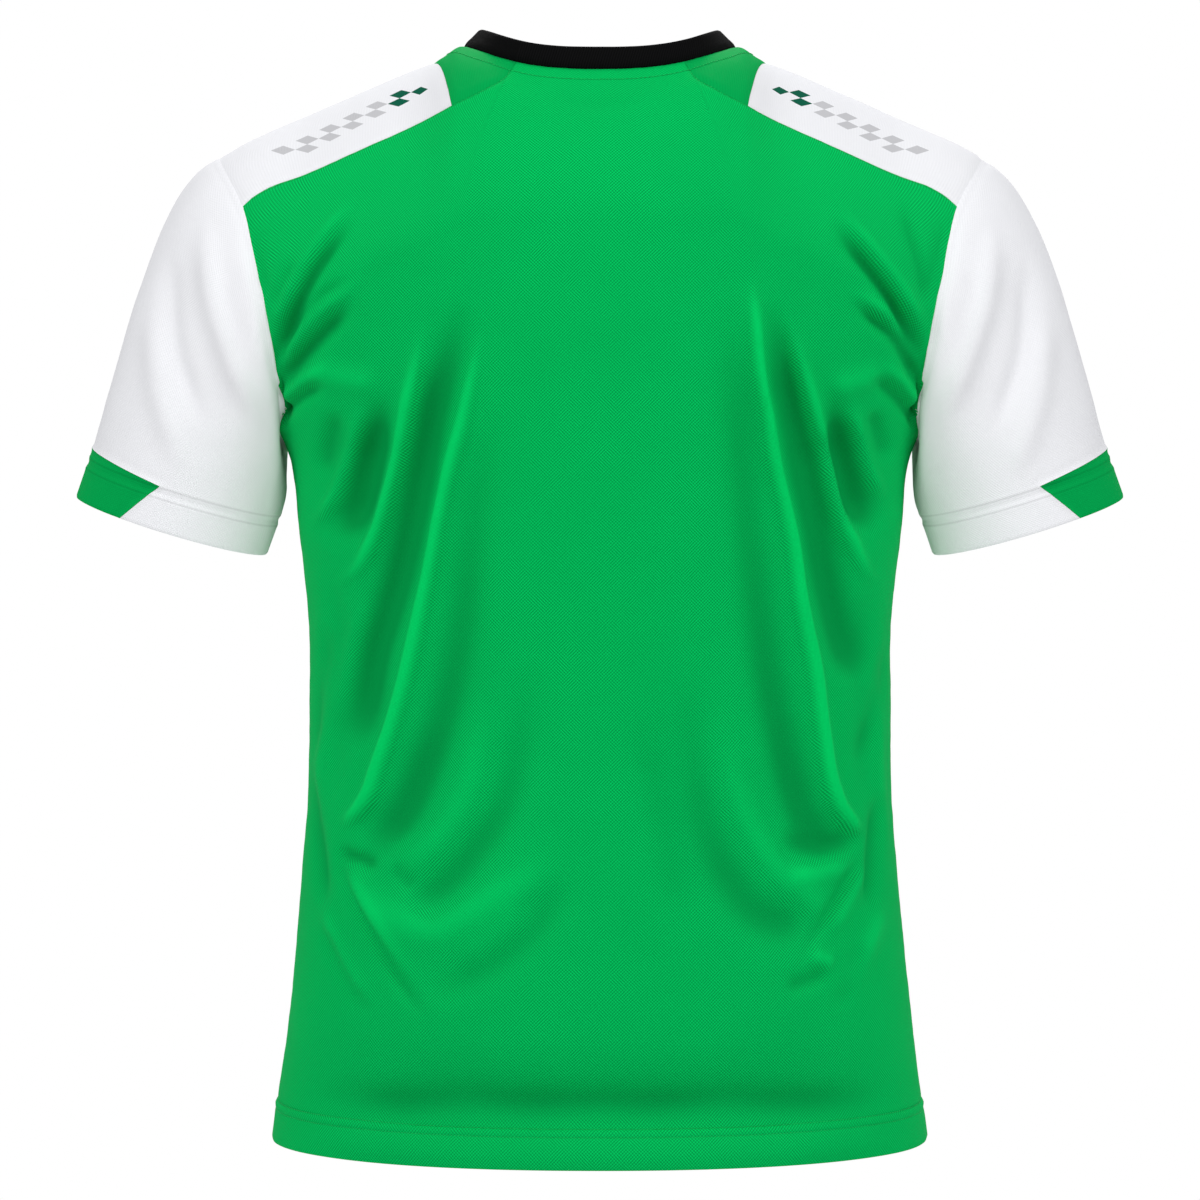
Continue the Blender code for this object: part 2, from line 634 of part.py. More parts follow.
def folded(points, normals, belongs):
    """Moves the cloth out along its ridges and in along its troughs."""
    shift = np.zeros(len(points))
    flat = points[:, [0, 2]]
    toward = {"back": -normals[:, 1], "front": normals[:, 1]}
    for tube, half, height, width, path in FOLDS:
        facing = np.clip(2.5 * toward[half], 0.0, 1.0) * belongs[tube]
        shift += height / 1000.0 * fold_height(flat, path, width / 1000.0) * facing
    return points + normals * shift[:, None]


def belonging(count, cells, tubes):
    """How much each point belongs to each tube: wholly, a little where two tubes meet, or not at all."""
    touched = {}
    for name in np.unique(tubes):
        touched[name] = np.bincount(cells[tubes == name].ravel(), minlength=count)
    total = sum(touched.values())
    return {name: np.where(own == total, 1.0, SEAM_SHARE) * (own > 0) for name, own in touched.items()}


# ------------------------------------------------------------------ walls

def drawn_back(points, cells, pieces):
    """For each piece, how its points on a seam move so that neighbours stay a seam gap apart."""
    owners = {}
    for cell, piece in zip(cells, pieces):
        middle = points[cell].mean(axis=0)
        for corner in cell:
            away = middle - points[corner]
            entry = owners.setdefault(int(corner), {}).setdefault(piece, [np.zeros(3), 0])
            entry[0] += away / np.linalg.norm(away)
            entry[1] += 1
    moves = {}
    for corner, found in owners.items():
        if len(found) < 2:
            continue
        ways = {piece: total / np.linalg.norm(total) for piece, (total, _) in found.items()}
        for piece, way in ways.items():
            nearest = min(np.linalg.norm(way - other) for name, other in ways.items() if name != piece)
            lone_cell = 1.3 if found[piece][1] == 1 else 1.0
            moves[piece, corner] = way * min(SEAM_GAP / nearest, 3 * SEAM_GAP) * lone_cell
    return moves


def halves_of(points, cells):
    """Cuts each cell into two triangles along its shorter diagonal."""
    corners = points[cells]
    first = np.linalg.norm(corners[:, 2] - corners[:, 0], axis=1)
    second = np.linalg.norm(corners[:, 3] - corners[:, 1], axis=1)
    turned = np.where((second < 0.999 * first)[:, None], np.roll(cells, -1, axis=1), cells)
    return np.vstack((turned[:, [0, 1, 2]], turned[:, [0, 2, 3]]))


def wall_of(piece, points, normals, cells, moves, thickness):
    """Closed wall of one piece: outer cells, inner cells and a rim."""
    used, flat = np.unique(cells, return_inverse=True)
    cells = flat.reshape(cells.shape)
    here = points[used]
    own = normals_of(here, cells)
    lean = np.clip((own * normals[used]).sum(axis=1), 1 / MOST_REACH, 1.0)
    out = normals[used] * (0.5 * thickness / lean)[:, None]
    shift = np.array([moves.get((piece, int(corner)), np.zeros(3)) for corner in used])
    outer, inner = here + shift + out, here + shift - out
    count = len(used)
    halves = halves_of(here, cells)
    edges = {(cell[k], cell[(k + 1) % 4]) for cell in cells for k in range(4)}
    faces = [*halves, *(halves[:, ::-1] + count)]
    for a, b in sorted(edge for edge in edges if (edge[1], edge[0]) not in edges):
        # Neighbours cut their rims along the same diagonal, so twisted rims stay clear of each other.
        if a < b:
            faces += [(b, a, b + count), (a, a + count, b + count)]
        else:
            faces += [(b, a, a + count), (b, a + count, b + count)]
    return np.vstack((outer, inner)), faces


# ------------------------------------------------------------------ objects

def material(name, colour, roughness):
    shade = bpy.data.materials.new(name)
    shade.use_nodes = True
    shader = shade.node_tree.nodes["Principled BSDF"]
    shader.inputs["Base Color"].default_value = colour
    shader.inputs["Roughness"].default_value = roughness
    shader.inputs["Metallic"].default_value = 0.0
    return shade


def colour_of(piece):
    if piece == "collar":
        return BLACK
    return WHITE if piece.startswith(("shoulder_panel", "sleeve")) else GREEN


def add_object(name, points, faces):
    mesh = bpy.data.meshes.new(name)
    mesh.from_pydata([tuple(map(float, p)) for p in points], [], [tuple(map(int, f)) for f in faces])
    mesh.validate()
    mesh.shade_smooth()
    mesh.set_sharp_from_angle(angle=math.radians(50))
    mesh.materials.append(material(name + "_cloth", colour_of(name), 0.75))
    piece = bpy.data.objects.new(name, mesh)
    bpy.context.scene.collection.objects.link(piece)
    return piece


def main():
    for old in list(bpy.data.objects):
        bpy.data.objects.remove(old)
    net = jersey_net()
    points, cells = np.array(net.points), np.array(net.cells)
    pieces, tubes = np.array(net.pieces), np.array(net.tubes)
    points = folded(points, seam_normals(points, cells, tubes), belonging(len(points), cells, tubes))
    normals = seam_normals(points, cells, tubes)
    moves = drawn_back(points, cells, pieces)
    for name in np.unique(pieces):
        thickness = COLLAR_CLOTH if name == "collar" else CLOTH
        add_object(str(name), *wall_of(name, points, normals, cells[pieces == name], moves, thickness))


if __name__ == "__main__":
    main()
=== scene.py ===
"""Looks of the short-sleeved football jersey: its cloth with creases, hems, seams and stitching.

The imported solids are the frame. Each one is replaced by a thin cloth shell on the same form: the garment is
laid out again as one net of cells, finer than that of the solids, its creases are moved in and out of it, and
each cut piece gets its own shell, knit and stitching. Metres, +Z up, -Y is the wearer's back.
"""

import math

import bpy
import numpy as np
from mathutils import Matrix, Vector, kdtree, noise


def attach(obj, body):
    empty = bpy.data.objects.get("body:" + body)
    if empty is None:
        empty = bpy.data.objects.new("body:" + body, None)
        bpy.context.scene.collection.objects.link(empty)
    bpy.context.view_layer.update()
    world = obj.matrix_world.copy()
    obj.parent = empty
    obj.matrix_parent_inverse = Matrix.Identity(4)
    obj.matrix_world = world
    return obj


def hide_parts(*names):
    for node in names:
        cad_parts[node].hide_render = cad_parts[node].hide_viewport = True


# ------------------------------------------------------------------ the form, as the solids have it

HEM_Z = -0.7175
HEM_CORNER = 0.0030         # the hem is this much higher at the side seams
ARMPIT_Z = -0.250
CORNER_Z = -0.1020          # where the yoke seam meets the armhole
TIP_X = 0.2534              # top of the armhole, on the ridge of the shoulder
BOXINESS = 0.96             # power of a body ring: 1 is an ellipse, less is boxier
ARMHOLE_REACH = 0.0655      # from the shoulder ridge to the armhole's back edge
ARMHOLE_BOWL = 0.100        # height of the armhole's round lower part
ARMHOLE_SPREAD = 0.0875     # how much wider the armhole gets per metre above that
MOST_BEND = 6.0             # greatest power with which the armhole bends the outer part of a ring
BACK, FRONT = -1, 1

# height, half width of the body's ring; above the armpit the ring runs on past the armhole
HALF_WIDTHS = (
    (-0.7175, 0.2166),
    (-0.6910, 0.2133),
    (-0.6510, 0.2079),
    (-0.6110, 0.2033),
    (-0.5710, 0.1996),
    (-0.5310, 0.1963),
    (-0.4910, 0.1933),
    (-0.4480, 0.1920),
    (-0.3980, 0.1920),
    (-0.3450, 0.1953),
    (-0.3050, 0.1998),
    (-0.2800, 0.2018),
    (-0.2650, 0.2045),
    (-0.2500, 0.2100),
    (-0.2312, 0.2195),
    (-0.2008, 0.2361),
    (-0.1697, 0.2510),
    (-0.1386, 0.2639),
    (-0.1020, 0.2833),
    (-0.0658, 0.3171),
    (0.0200, 0.4200),
)

# height, reach of the back behind the side seams, reach of the front before them
REACHES = (
    (-0.7175, 0.1335, 0.1220),
    (-0.7050, 0.1295, 0.1205),
    (-0.6890, 0.1240, 0.1180),
    (-0.6350, 0.1320, 0.1225),
    (-0.5800, 0.1280, 0.1185),
    (-0.5000, 0.1210, 0.1140),
    (-0.4200, 0.1180, 0.1150),
    (-0.3000, 0.1205, 0.1210),
    (-0.1900, 0.1230, 0.1260),
    (-0.1200, 0.1200, 0.1230),
    (-0.0500, 0.1160, 0.1180),
    (0.0200, 0.1220, 0.1180),
)

# distance from the middle, height of the shoulder's ridge
RIDGE = (
    (0.0000, 0.0083),
    (0.0900, 0.0083),
    (0.0955, 0.0072),
    (0.1010, 0.0034),
    (0.1080, -0.0012),
    (0.1250, -0.0076),
    (0.1490, -0.0177),
    (0.1950, -0.0377),
    (0.2175, -0.0474),
    (0.2380, -0.0569),
    (0.2534, -0.0660),
    (0.2700, -0.0780),
)

# drop from the ridge to where the body hangs upright: at the middle, at the tip of the shoulder
ARCH_DROPS = {BACK: (0.1245, 0.1300), FRONT: (0.2570, 0.1450)}

PINCH_POWER = 1.5           # how fast the pinch below fades from the ridge down
SHOULDER_BOW = 0.12         # how much the armhole bows in between the yoke corner and the tip
# distance from the middle, how much narrower the arch is near its ridge than a quarter of an ellipse
ARCH_PINCHES = (
    (0.0000, 0.05),
    (0.0700, 0.05),
    (0.1000, 0.30),
    (0.1300, 0.50),
    (0.1900, 0.50),
    (0.2350, 0.35),
    (0.2700, 0.30),
)

# Neck: height = floor + rise * (share of the half width) ** power
NECK_HALF_WIDTH = 0.0900
NECK_SHAPE = {BACK: (-0.0146, 0.0229, 2.6), FRONT: (-0.0600, 0.0683, 2.3)}
NECK_JUNCTION = {BACK: 0.0544, FRONT: 0.0763}     # distance from the middle where the yoke seam starts

# distance from the middle, height of the yoke seam, from the neck to the armhole
YOKE_SEAMS = {
    BACK: (
        (0.0613, -0.0210),
        (0.0720, -0.0280),
        (0.0956, -0.0396),
        (0.1285, -0.0544),
        (0.1612, -0.0683),
        (0.1942, -0.0820),
        (0.2176, -0.0901),
        (0.2280, -0.0965),
    ),
    FRONT: (
        (0.0840, -0.0210),
        (0.1060, -0.0400),
        (0.1612, -0.0690),
        (0.1942, -0.0820),
        (0.2176, -0.0901),
        (0.2280, -0.0965),
    ),
}
INSERT_EDGE = {BACK: 0.0956, FRONT: 0.1060}       # outer end of the insert on each yoke seam
INSERT_RIDGE = 0.1115                             # and on the ridge

# Collar band: how far its top edge lies from the neck seam (inwards, up)
COLLAR_SIDE = (0.0110, 0.0112)
COLLAR_BACK = (0.0050, 0.0150)
COLLAR_FRONT = (0.0090, 0.0130)

# Sleeve
CUFF_CENTRE = np.array([0.2858, 0.0120, -0.3083])
CUFF_OUT = np.array([0.9553, 0.0, 0.2957])        # towards the outermost point of the cuff
ARM_AXIS = np.array([0.2935, 0.1200, -0.9484])    # down the arm
CUFF_HALF_WIDTH = 0.0660
CUFF_HALF_DEPTH = 0.0500
CUFF_TAPER = -0.005                               # the cuff's half width grows by this per metre up the arm
CUFF_LEAN = 0.042                                 # and its middle moves in by this
HEM_DEPTH = 0.0288                                # turned-up hem of the cuff
WEDGE_RISE = 0.0060                               # the insert reaches this much above the hem outside
WEDGE_TOP = 81.0                                  # half angle of the insert at its upper edge
WEDGE_FOOT = 64.0                                 # and at the cuff's edge
CORNER_TURN = 52.0                                # angle round the cuff opposite the yoke corner

# angle round the sleeve from its outermost line, direction out of the armhole (out, back or front,
# down), pull at the armhole, pull at the cuff
SLEEVE_PULLS = (
    (0.0, 0.92, 0.00, 0.41, 0.146, 0.222),
    (52.0, 0.89, 0.05, 0.46, 0.126, 0.185),
    (90.0, 0.80, 0.30, 0.50, 0.080, 0.130),
    (130.0, 0.50, 0.50, 0.70, 0.055, 0.085),
    (155.0, 0.10, 0.50, 0.86, 0.050, 0.080),
    (180.0, 0.75, 0.00, 0.66, 0.026, 0.100),
)

# ------------------------------------------------------------------ the fine net

HEM_ZONE = 0.0320           # rows are close together in the lowest stretch of the body
HEM_ROWS = 26
BODY_ROWS = 142             # from there to the armpit
ARMHOLE_ROWS = 78
WEDGE_EXTRA = 12            # of those, above the edge of the cuff insert
ARMHOLE_SWAY = 6            # power with which the armhole's line fades from the rows of the body
NECK_COLUMNS = 34
INSERT_COLUMNS = 15
SHOULDER_COLUMNS = 35
STRIP_ROWS = 24
SLEEVE_ROWS = 84
CUFF_ROWS = 22
COLLAR_ROWS = 12

# share of the columns from the middle to the edge, share of the body's ring that they cover
COLUMN_SHARES = (
    (0.000, 0.0),
    (0.160, 0.2),
    (0.316, 0.3),
    (0.461, 0.4),
    (0.591, 0.5),
    (0.700, 0.6),
    (0.788, 0.7),
    (1.000, 1.0),
)

CLOTH = 0.0010              # shell of the knit
HEM_CLOTH = 0.0016          # and where it is turned up
COLLAR_CLOTH = 0.0021
SEAM_DRAW = 0.00010         # each piece ends this far from its seam
SEAM_DIP = 0.0006           # depth of the valley along a seam
DIP_WIDTH = 0.0013
SWELL = 0.00025             # height of the low swell beside that valley
SWELL_AT = 0.0040           # its distance from the seam
SWELL_WIDTH = 0.0022
PUCKER = 0.00022            # height of the puckers along a seam
PUCKER_SIZE = 0.0065
PUCKER_REACH = 0.009
UNEVEN = ((0.0007, 0.055), (0.00020, 0.016))      # height and size of the cloth's unevenness
SEAM_REACH = 0.009          # how far a fold runs on past the armhole seam
FOLD_FACING = 2.5           # a fold is whole where the cloth is turned to its side by 1 / this or more
FOLD_REACH = 2.6            # how far out a fold is worked out, in half widths
FOLD_FADE = 0.3             # share of a fold over which each end fades by itself
FOLD_TIP = 0.6              # share of its width that a fold has at its tips
FOLD_SHADE_DEPTH = 0.0080       # a trough this deep, or a ridge this high, gets the full painted shade or painted highlight in the knit's colour
SHARP_ANGLE = 60            # a shell's edge is shaded sharp beyond this
LEAST_LEAN = 0.5            # limits how far a shell's corner may reach in a sharp fold
EDGE_ROUND = 0.0011         # rounding of a turned edge
EDGE_CLOTH = 0.35           # share of the thickness that is left at the very edge
HEM_STEP = 0.0004           # how far a turned-up hem stands out
HEM_ROLL = 0.0006           # height of the soft roll between its needle rows
ROLL_WIDTH = 0.0019
ROW_DENT = 0.0003           # depth of the dent along a needle row
DENT_WIDTH = 0.0011
HEM_LOWER, HEM_UPPER = 0.0204, 0.0258      # the two needle rows above the body's edge
CUFF_LOWER, CUFF_UPPER = 0.0206, 0.0280    # and above a cuff's
NECK_ROW = 0.0128           # the row of stitches below the collar
YOKE_ROW = 0.0016           # and the rows beside the yoke seam and the armhole
ARMHOLE_ROW = 0.0020
WELD_SCALE = 31416.0        # points are one where they agree at this many steps a metre

# ------------------------------------------------------------------ creases

# tube, side that its folds are seen from: each fold's height in mm, half width in mm and path in mm, as
# (x, z) on the back and the front and (y, z) on the left and the right. A third number in the path is
# the share of the height that is reached there; without it the fold fades in and out by itself.
FOLDS = {
    ("body", "back"): (
        # back, wearer's left: from the armhole
        (-2.2, 4, ((-228, -116), (-220, -142), (-212, -170))),
        (-2.6, 5, ((-195, -138), (-203, -153), (-212, -174))),
        (3.4, 5, ((-158, -100), (-172, -118), (-184, -135), (-197, -154), (-212, -184))),
        (-8.0, 6, ((-156, -108), (-175, -132), (-187, -150), (-196, -169), (-204, -188), (-210, -206),
                   (-214, -226))),
        (-3.8, 5, ((-156, -153), (-176, -164), (-189, -176), (-208, -198))),
        (3.8, 5, ((-150, -152), (-171, -165), (-188, -178), (-201, -194), (-216, -216))),
        (-6.4, 6, ((-154, -166), (-171, -181), (-187, -196), (-203, -213), (-216, -230))),
        (2.8, 5, ((-172, -206), (-192, -217), (-214, -234))),
        (-4.0, 5, ((-174, -221), (-190, -225), (-202, -232), (-214, -246))),
        (2.8, 8, ((-190, -208), (-168, -215), (-138, -222))),
        (-5.0, 19, ((-150, -238), (-158, -285), (-166, -330))),
        # back, wearer's left: long ones down the side
        (-7.0, 9, ((-136, -222), (-142, -246), (-149, -270), (-156, -296), (-170, -322))),
        (5.2, 5, ((-153, -232), (-158, -252), (-165, -273), (-174, -294), (-190, -312))),
        (-3.8, 6, ((-168, -234), (-176, -256), (-183, -280))),
        (6.8, 5, ((-112, -180), (-118, -212), (-124, -241), (-130, -268), (-137, -293), (-145, -317),
                  (-156, -338), (-178, -352))),
        (-9.0, 12, ((-86, -170, 0), (-97, -206, 0.6), (-107, -238, 1), (-113, -268, 1), (-124, -319, 1),
                    (-131, -345, 1), (-138, -368, 1), (-146, -392, 1), (-152, -424, 0.9), (-157, -458, 0))),
        (7.0, 4.4, ((-76, -190, 0), (-82, -218, 0.6), (-88, -246, 0.8), (-95, -270, 1), (-102, -301, 1),
                    (-108, -333, 1), (-113, -358, 1), (-127, -418, 1), (-143, -468, 1), (-149, -485, 1),
                    (-156, -495, 0.8), (-168, -504, 0))),
        (2.6, 6, ((-149, -352), (-158, -380), (-166, -412), (-172, -444))),
        (-7.5, 14, ((-66, -236, 0), (-79, -290, 0.35), (-84, -327, 0.5), (-87, -358, 0.6), (-94, -401, 0.7),
                    (-102, -435, 0.8), (-117, -473, 1), (-130, -499, 1), (-147, -515, 0.4),
                    (-156, -520, 0))),
        (-5.0, 4.5, ((-172, -518), (-164, -523), (-153, -526), (-141, -533))),
        (-2.4, 5, ((-134, -529), (-126, -536), (-118, -543))),
        (2.4, 13, ((-72, -422, 0), (-78, -447, 0.7), (-88, -486, 1), (-102, -508, 1), (-121, -522, 0.8),
                   (-138, -536, 0))),
        (-5.0, 12, ((-46, -400, 0), (-48, -422, 0.3), (-53, -453, 0.6), (-65, -496, 0.9), (-81, -519, 1),
                    (-97, -539, 1), (-112, -551, 0.7), (-122, -558, 0))),
        (3.4, 13, ((-25, -523, 0), (-44, -534, 0.6), (-81, -555, 1), (-108, -567, 1), (-141, -557, 0.9),
                   (-158, -541, 0.5), (-166, -530, 0))),
        (-3.4, 11, ((-20, -532, 0), (-27, -544, 0.6), (-44, -569, 1), (-72, -591, 1), (-95, -603, 0.7),
                    (-112, -610, 0))),
        (1.6, 9, ((-40, -552), (-62, -572), (-92, -590))),
        (2.6, 5, ((-165, -528, 0), (-156, -545, 1), (-146, -560, 1), (-133, -582, 0.8), (-116, -608, 0))),
        (-3.4, 4, ((-171, -526, 0), (-163, -540, 0.9), (-151, -563, 1), (-141, -580, 1), (-124, -606, 0.8),
                   (-112, -624, 0))),
        (2.8, 5, ((-182, -550), (-174, -568), (-161, -597), (-142, -622))),
        (-2.6, 5, ((-182, -568), (-172, -586), (-160, -606), (-146, -626))),
        (-4.0, 6, ((-178, -368), (-182, -404), (-186, -440), (-190, -470))),
        (-4.6, 5, ((-191, -462), (-187, -502), (-182, -532), (-178, -566))),
        # back, wearer's right: from the armhole
        (-2.2, 4, ((226, -108), (218, -137), (211, -168))),
        (-3.4, 5, ((195, -96), (201, -120), (207, -144), (210, -176))),
        (3.8, 5, ((152, -106), (172, -131), (192, -157), (212, -190))),
        (-8.8, 6, ((146, -112), (163, -132), (177, -149), (187, -163), (196, -180), (204, -196),
                   (214, -226))),
        (3.8, 5, ((160, -160), (180, -172), (195, -186), (214, -216))),
        (-5.4, 5, ((157, -166), (175, -178), (189, -189), (200, -204), (214, -232))),
        (2.8, 5, ((178, -204), (195, -216), (214, -240))),
        (-4.0, 5, ((170, -213), (189, -225), (214, -248))),
        (2.8, 8, ((186, -210), (166, -217), (144, -224))),
        (-5.0, 19, ((148, -240), (162, -280), (172, -320))),
        # back, wearer's right: long ones down the side
        (7.4, 4.4, ((96, -156, 0), (99, -186, 0.8), (102, -216, 1), (107, -241, 1), (111, -268, 1),
                    (117, -293, 1), (123, -320, 1), (128, -358, 1), (137, -401, 1), (143, -444, 1),
                    (149, -479, 1), (155, -494, 1), (161, -502, 0.8), (169, -511, 0))),
        (-8.0, 12, ((108, -170, 0), (115, -200, 0.6), (121, -226, 1), (127, -252, 1), (133, -280, 1),
                    (140, -308, 1), (146, -338, 1), (153, -366, 1), (160, -390, 0.9), (169, -412, 0))),
        (6.8, 5, ((118, -170), (126, -200), (137, -238), (146, -268), (152, -293), (161, -318), (173, -340),
                  (190, -354))),
        (-7.4, 8, ((146, -222), (153, -246), (160, -270), (167, -293), (180, -320))),
        (5.0, 5, ((160, -230), (166, -250), (173, -270), (187, -298))),
        (-3.6, 5, ((174, -234), (181, -250), (188, -270))),
        (-7.2, 14, ((82, -168, 0), (86, -212, 0.35), (91, -256, 0.55), (96, -310, 0.6), (102, -358, 0.7),
                    (108, -401, 0.8), (117, -443, 0.9), (126, -478, 1), (137, -503, 1), (150, -514, 0.6),
                    (166, -518, 0))),
        (-3.5, 8, ((114, -509, 0), (127, -515, 1), (145, -517, 1), (160, -515, 0.8), (171, -511, 0))),
        (3.8, 7, ((118, -532, 0), (132, -534, 1), (148, -531, 1), (164, -523, 0))),
        (2.8, 11, ((72, -430, 0), (83, -473, 0.8), (100, -513, 1), (119, -537, 1), (138, -552, 0.7),
                   (151, -556, 0))),
        (-5.5, 15, ((54, -410, 0), (57, -441, 0.4), (62, -464, 0.6), (70, -506, 0.8), (85, -538, 1),
                    (102, -558, 1), (120, -565, 0.9), (137, -566, 0))),
        (-3.2, 4, ((169, -523, 0), (160, -538, 1), (150, -553, 1), (141, -566, 0.8), (128, -589, 0))),
        (2.6, 5, ((174, -526), (166, -540), (156, -558), (146, -576))),
        (-4.6, 5, ((182, -480), (179, -508), (176, -536), (173, -566))),
        (3.4, 5, ((133, -584), (141, -588), (151, -592))),
        (-3.4, 5.5, ((116, -605), (130, -602), (148, -597))),
        (3.2, 7, ((184, -550), (177, -572), (165, -596), (149, -620))),
        (-3.2, 6, ((168, -576), (162, -600), (150, -622))),
        (-3.4, 6, ((188, -380), (183, -416), (174, -450), (164, -468))),
        (-2.6, 14, ((24, -420), (40, -500), (56, -580))),
        (-1.2, 6, ((-34, -37), (0, -40), (34, -37))),
        # back, the dip above the hem
        (-4.6, 12, ((-190, -678, 0), (-150, -679, 0.7), (-128, -679, 1), (-83, -676, 0.8), (-38, -678, 1),
                    (0, -677, 0.9), (38, -678, 1), (76, -676, 0.8), (128, -679, 1), (160, -679, 0.7),
                    (190, -678, 0))),
        (-2.2, 6, ((-196, -716, 0), (-150, -717, 1), (0, -718, 1), (150, -717, 1), (196, -716, 0))),
    ),
    ("body", "front"): (
        # front, plain hangs like those of the back
        (-6.5, 8, ((-150, -128), (-170, -148), (-190, -174), (-212, -212))),
        (3.4, 6, ((-158, -162), (-180, -182), (-212, -218))),
        (-4.4, 6, ((-156, -184), (-176, -200), (-212, -234))),
        (6.4, 8, ((-92, -186), (-104, -250), (-118, -330), (-135, -420), (-160, -506))),
        (-7.0, 12, ((-72, -250), (-90, -340), (-104, -420), (-122, -500), (-146, -544))),
        (-7.5, 11, ((-110, -196), (-126, -262), (-138, -330), (-154, -412))),
        (4.6, 9, ((-48, -430), (-72, -496), (-100, -544), (-146, -576))),
        (-4.0, 11, ((-26, -490), (-56, -552), (-104, -604))),
        (4.2, 6, ((-146, -226), (-158, -286), (-184, -336))),
        (-3.4, 7, ((-180, -394), (-184, -450), (-178, -530))),
        (-6.5, 8, ((148, -134), (172, -156), (192, -180), (212, -216))),
        (3.4, 6, ((156, -168), (182, -190), (212, -224))),
        (-4.4, 6, ((158, -190), (180, -206), (212, -240))),
        (6.4, 8, ((88, -180), (100, -256), (112, -330), (128, -410), (156, -502))),
        (-7.0, 12, ((68, -240), (86, -330), (100, -420), (116, -490), (146, -536))),
        (-7.5, 11, ((106, -190), (122, -256), (136, -320), (152, -402))),
        (4.6, 9, ((44, -440), (66, -502), (94, -552), (138, -588))),
        (-4.0, 11, ((20, -500), (48, -566), (96, -614))),
        (4.2, 6, ((144, -222), (156, -280), (182, -332))),
        (-3.4, 7, ((180, -390), (184, -446), (176, -530))),
    ),
    ("body", "left"): (
        # sides of the body
        (-1.8, 9, ((-54, -320), (-60, -400), (-56, -500))),
        (1.6, 8, ((-36, -360), (-40, -430), (-37, -520))),
        (-1.8, 9, ((42, -330), (52, -420), (46, -520))),
        (1.6, 9, ((64, -300), (72, -400), (66, -480))),
    ),
    ("body", "right"): (
        (-1.8, 9, ((-52, -330), (-58, -410), (-55, -510))),
        (1.6, 8, ((-36, -370), (-40, -440), (-36, -530))),
        (-1.8, 9, ((40, -320), (50, -410), (48, -510))),
        (1.6, 9, ((62, -310), (70, -410), (64, -490))),
    ),
    ("sleeve", "back"): (
        # left sleeve
        (-3.0, 4, ((-250, -98), (-243, -136), (-235, -162), (-229, -182), (-223, -202), (-216, -226))),
        (5.5, 5, ((-268, -114, 0), (-265, -146, 0.5), (-255, -178, 0.9), (-240, -203, 1), (-226, -224, 1),
                  (-212, -242, 0.9), (-204, -256, 0))),
        (-5.2, 4.5, ((-260, -112, 0), (-257, -144, 0.4), (-247, -173, 0.8), (-232, -196, 1),
                     (-218, -216, 1), (-206, -234, 0.9), (-199, -244, 0))),
        (-3.5, 3.5, ((-241, -150), (-229, -181), (-219, -206), (-210, -232))),
        (2.8, 4, ((-236, -148), (-225, -179), (-215, -203), (-206, -230))),
        (-6.2, 5, ((-222, -208), (-216, -219), (-211, -230), (-206, -242))),
        (4.0, 7, ((-277, -134), (-277, -190), (-271, -232), (-262, -268))),
        (-4.0, 8, ((-290, -130), (-290, -188), (-284, -232), (-275, -270))),
        (-3.3, 6, ((-268, -196), (-262, -226), (-248, -262))),
        (2.5, 8, ((-258, -206), (-248, -232), (-236, -260))),
        (-3.3, 5, ((-242, -264), (-228, -253), (-212, -250))),
        (-2.5, 12, ((-304, -150), (-306, -206), (-306, -262))),
        (-3.1, 9, ((-228, -258), (-224, -276), (-222, -300))),
        (2.8, 6, ((-214, -262), (-213, -272), (-213, -284))),
        # right sleeve
        (-3.0, 4, ((245, -98), (238, -136), (234, -156), (229, -182), (224, -214))),
        (5.5, 5, ((266, -116, 0), (263.5, -146, 0.5), (255, -176, 0.9), (241, -202, 1), (227, -225, 1),
                  (213, -246, 0.9), (204, -262, 0))),
        (-5.2, 4.5, ((258, -112, 0), (255.5, -142, 0.4), (246, -169, 0.8), (232, -193, 1), (218, -216, 1),
                     (205, -236, 0.9), (198, -248, 0))),
        (-5.8, 5, ((218, -220), (213, -230), (208, -240))),
        (3.5, 6, ((279, -140), (280, -178), (275, -208), (265, -238), (260, -256))),
        (-4.0, 6, ((289, -140), (290, -182), (285, -210), (275, -240), (268, -262))),
        (2.8, 7, ((270, -156), (266, -192), (254, -215), (237, -244))),
        (-3.0, 6, ((262, -168), (257, -196), (244, -219), (228, -246))),
        (-2.8, 6, ((262, -224), (252, -246), (238, -268))),
        (-2.5, 12, ((305, -160), (306, -206), (304, -256))),
        (-3.1, 9, ((224, -262), (220, -280), (218, -304))),
        (2.8, 6, ((232, -238), (227, -258), (221, -280))),
    ),
    ("sleeve", "front"): (
        # fronts and outer sides of the sleeves
        (-4.4, 8, ((-259, -106), (-254, -160), (-240, -204), (-220, -250))),
        (3.6, 7, ((-282, -126), (-278, -190), (-258, -250))),
        (-3.0, 8, ((-295, -160), (-290, -220), (-272, -278))),
        (-4.4, 8, ((257, -110), (252, -164), (238, -206), (220, -252))),
        (3.6, 7, ((280, -130), (276, -194), (256, -254))),
        (-3.0, 8, ((293, -164), (288, -224), (270, -282))),
    ),
    ("sleeve", "left"): (
        (-2.0, 12, ((-24, -120), (-18, -190), (-14, -260))),
        (1.8, 12, ((20, -110), (24, -180), (26, -260))),
    ),
    ("sleeve", "right"): (
        (-2.0, 12, ((-20, -126), (-16, -196), (-12, -266))),
        (1.8, 12, ((22, -116), (26, -186), (28, -260))),
    ),
}

# ------------------------------------------------------------------ colours and surfaces

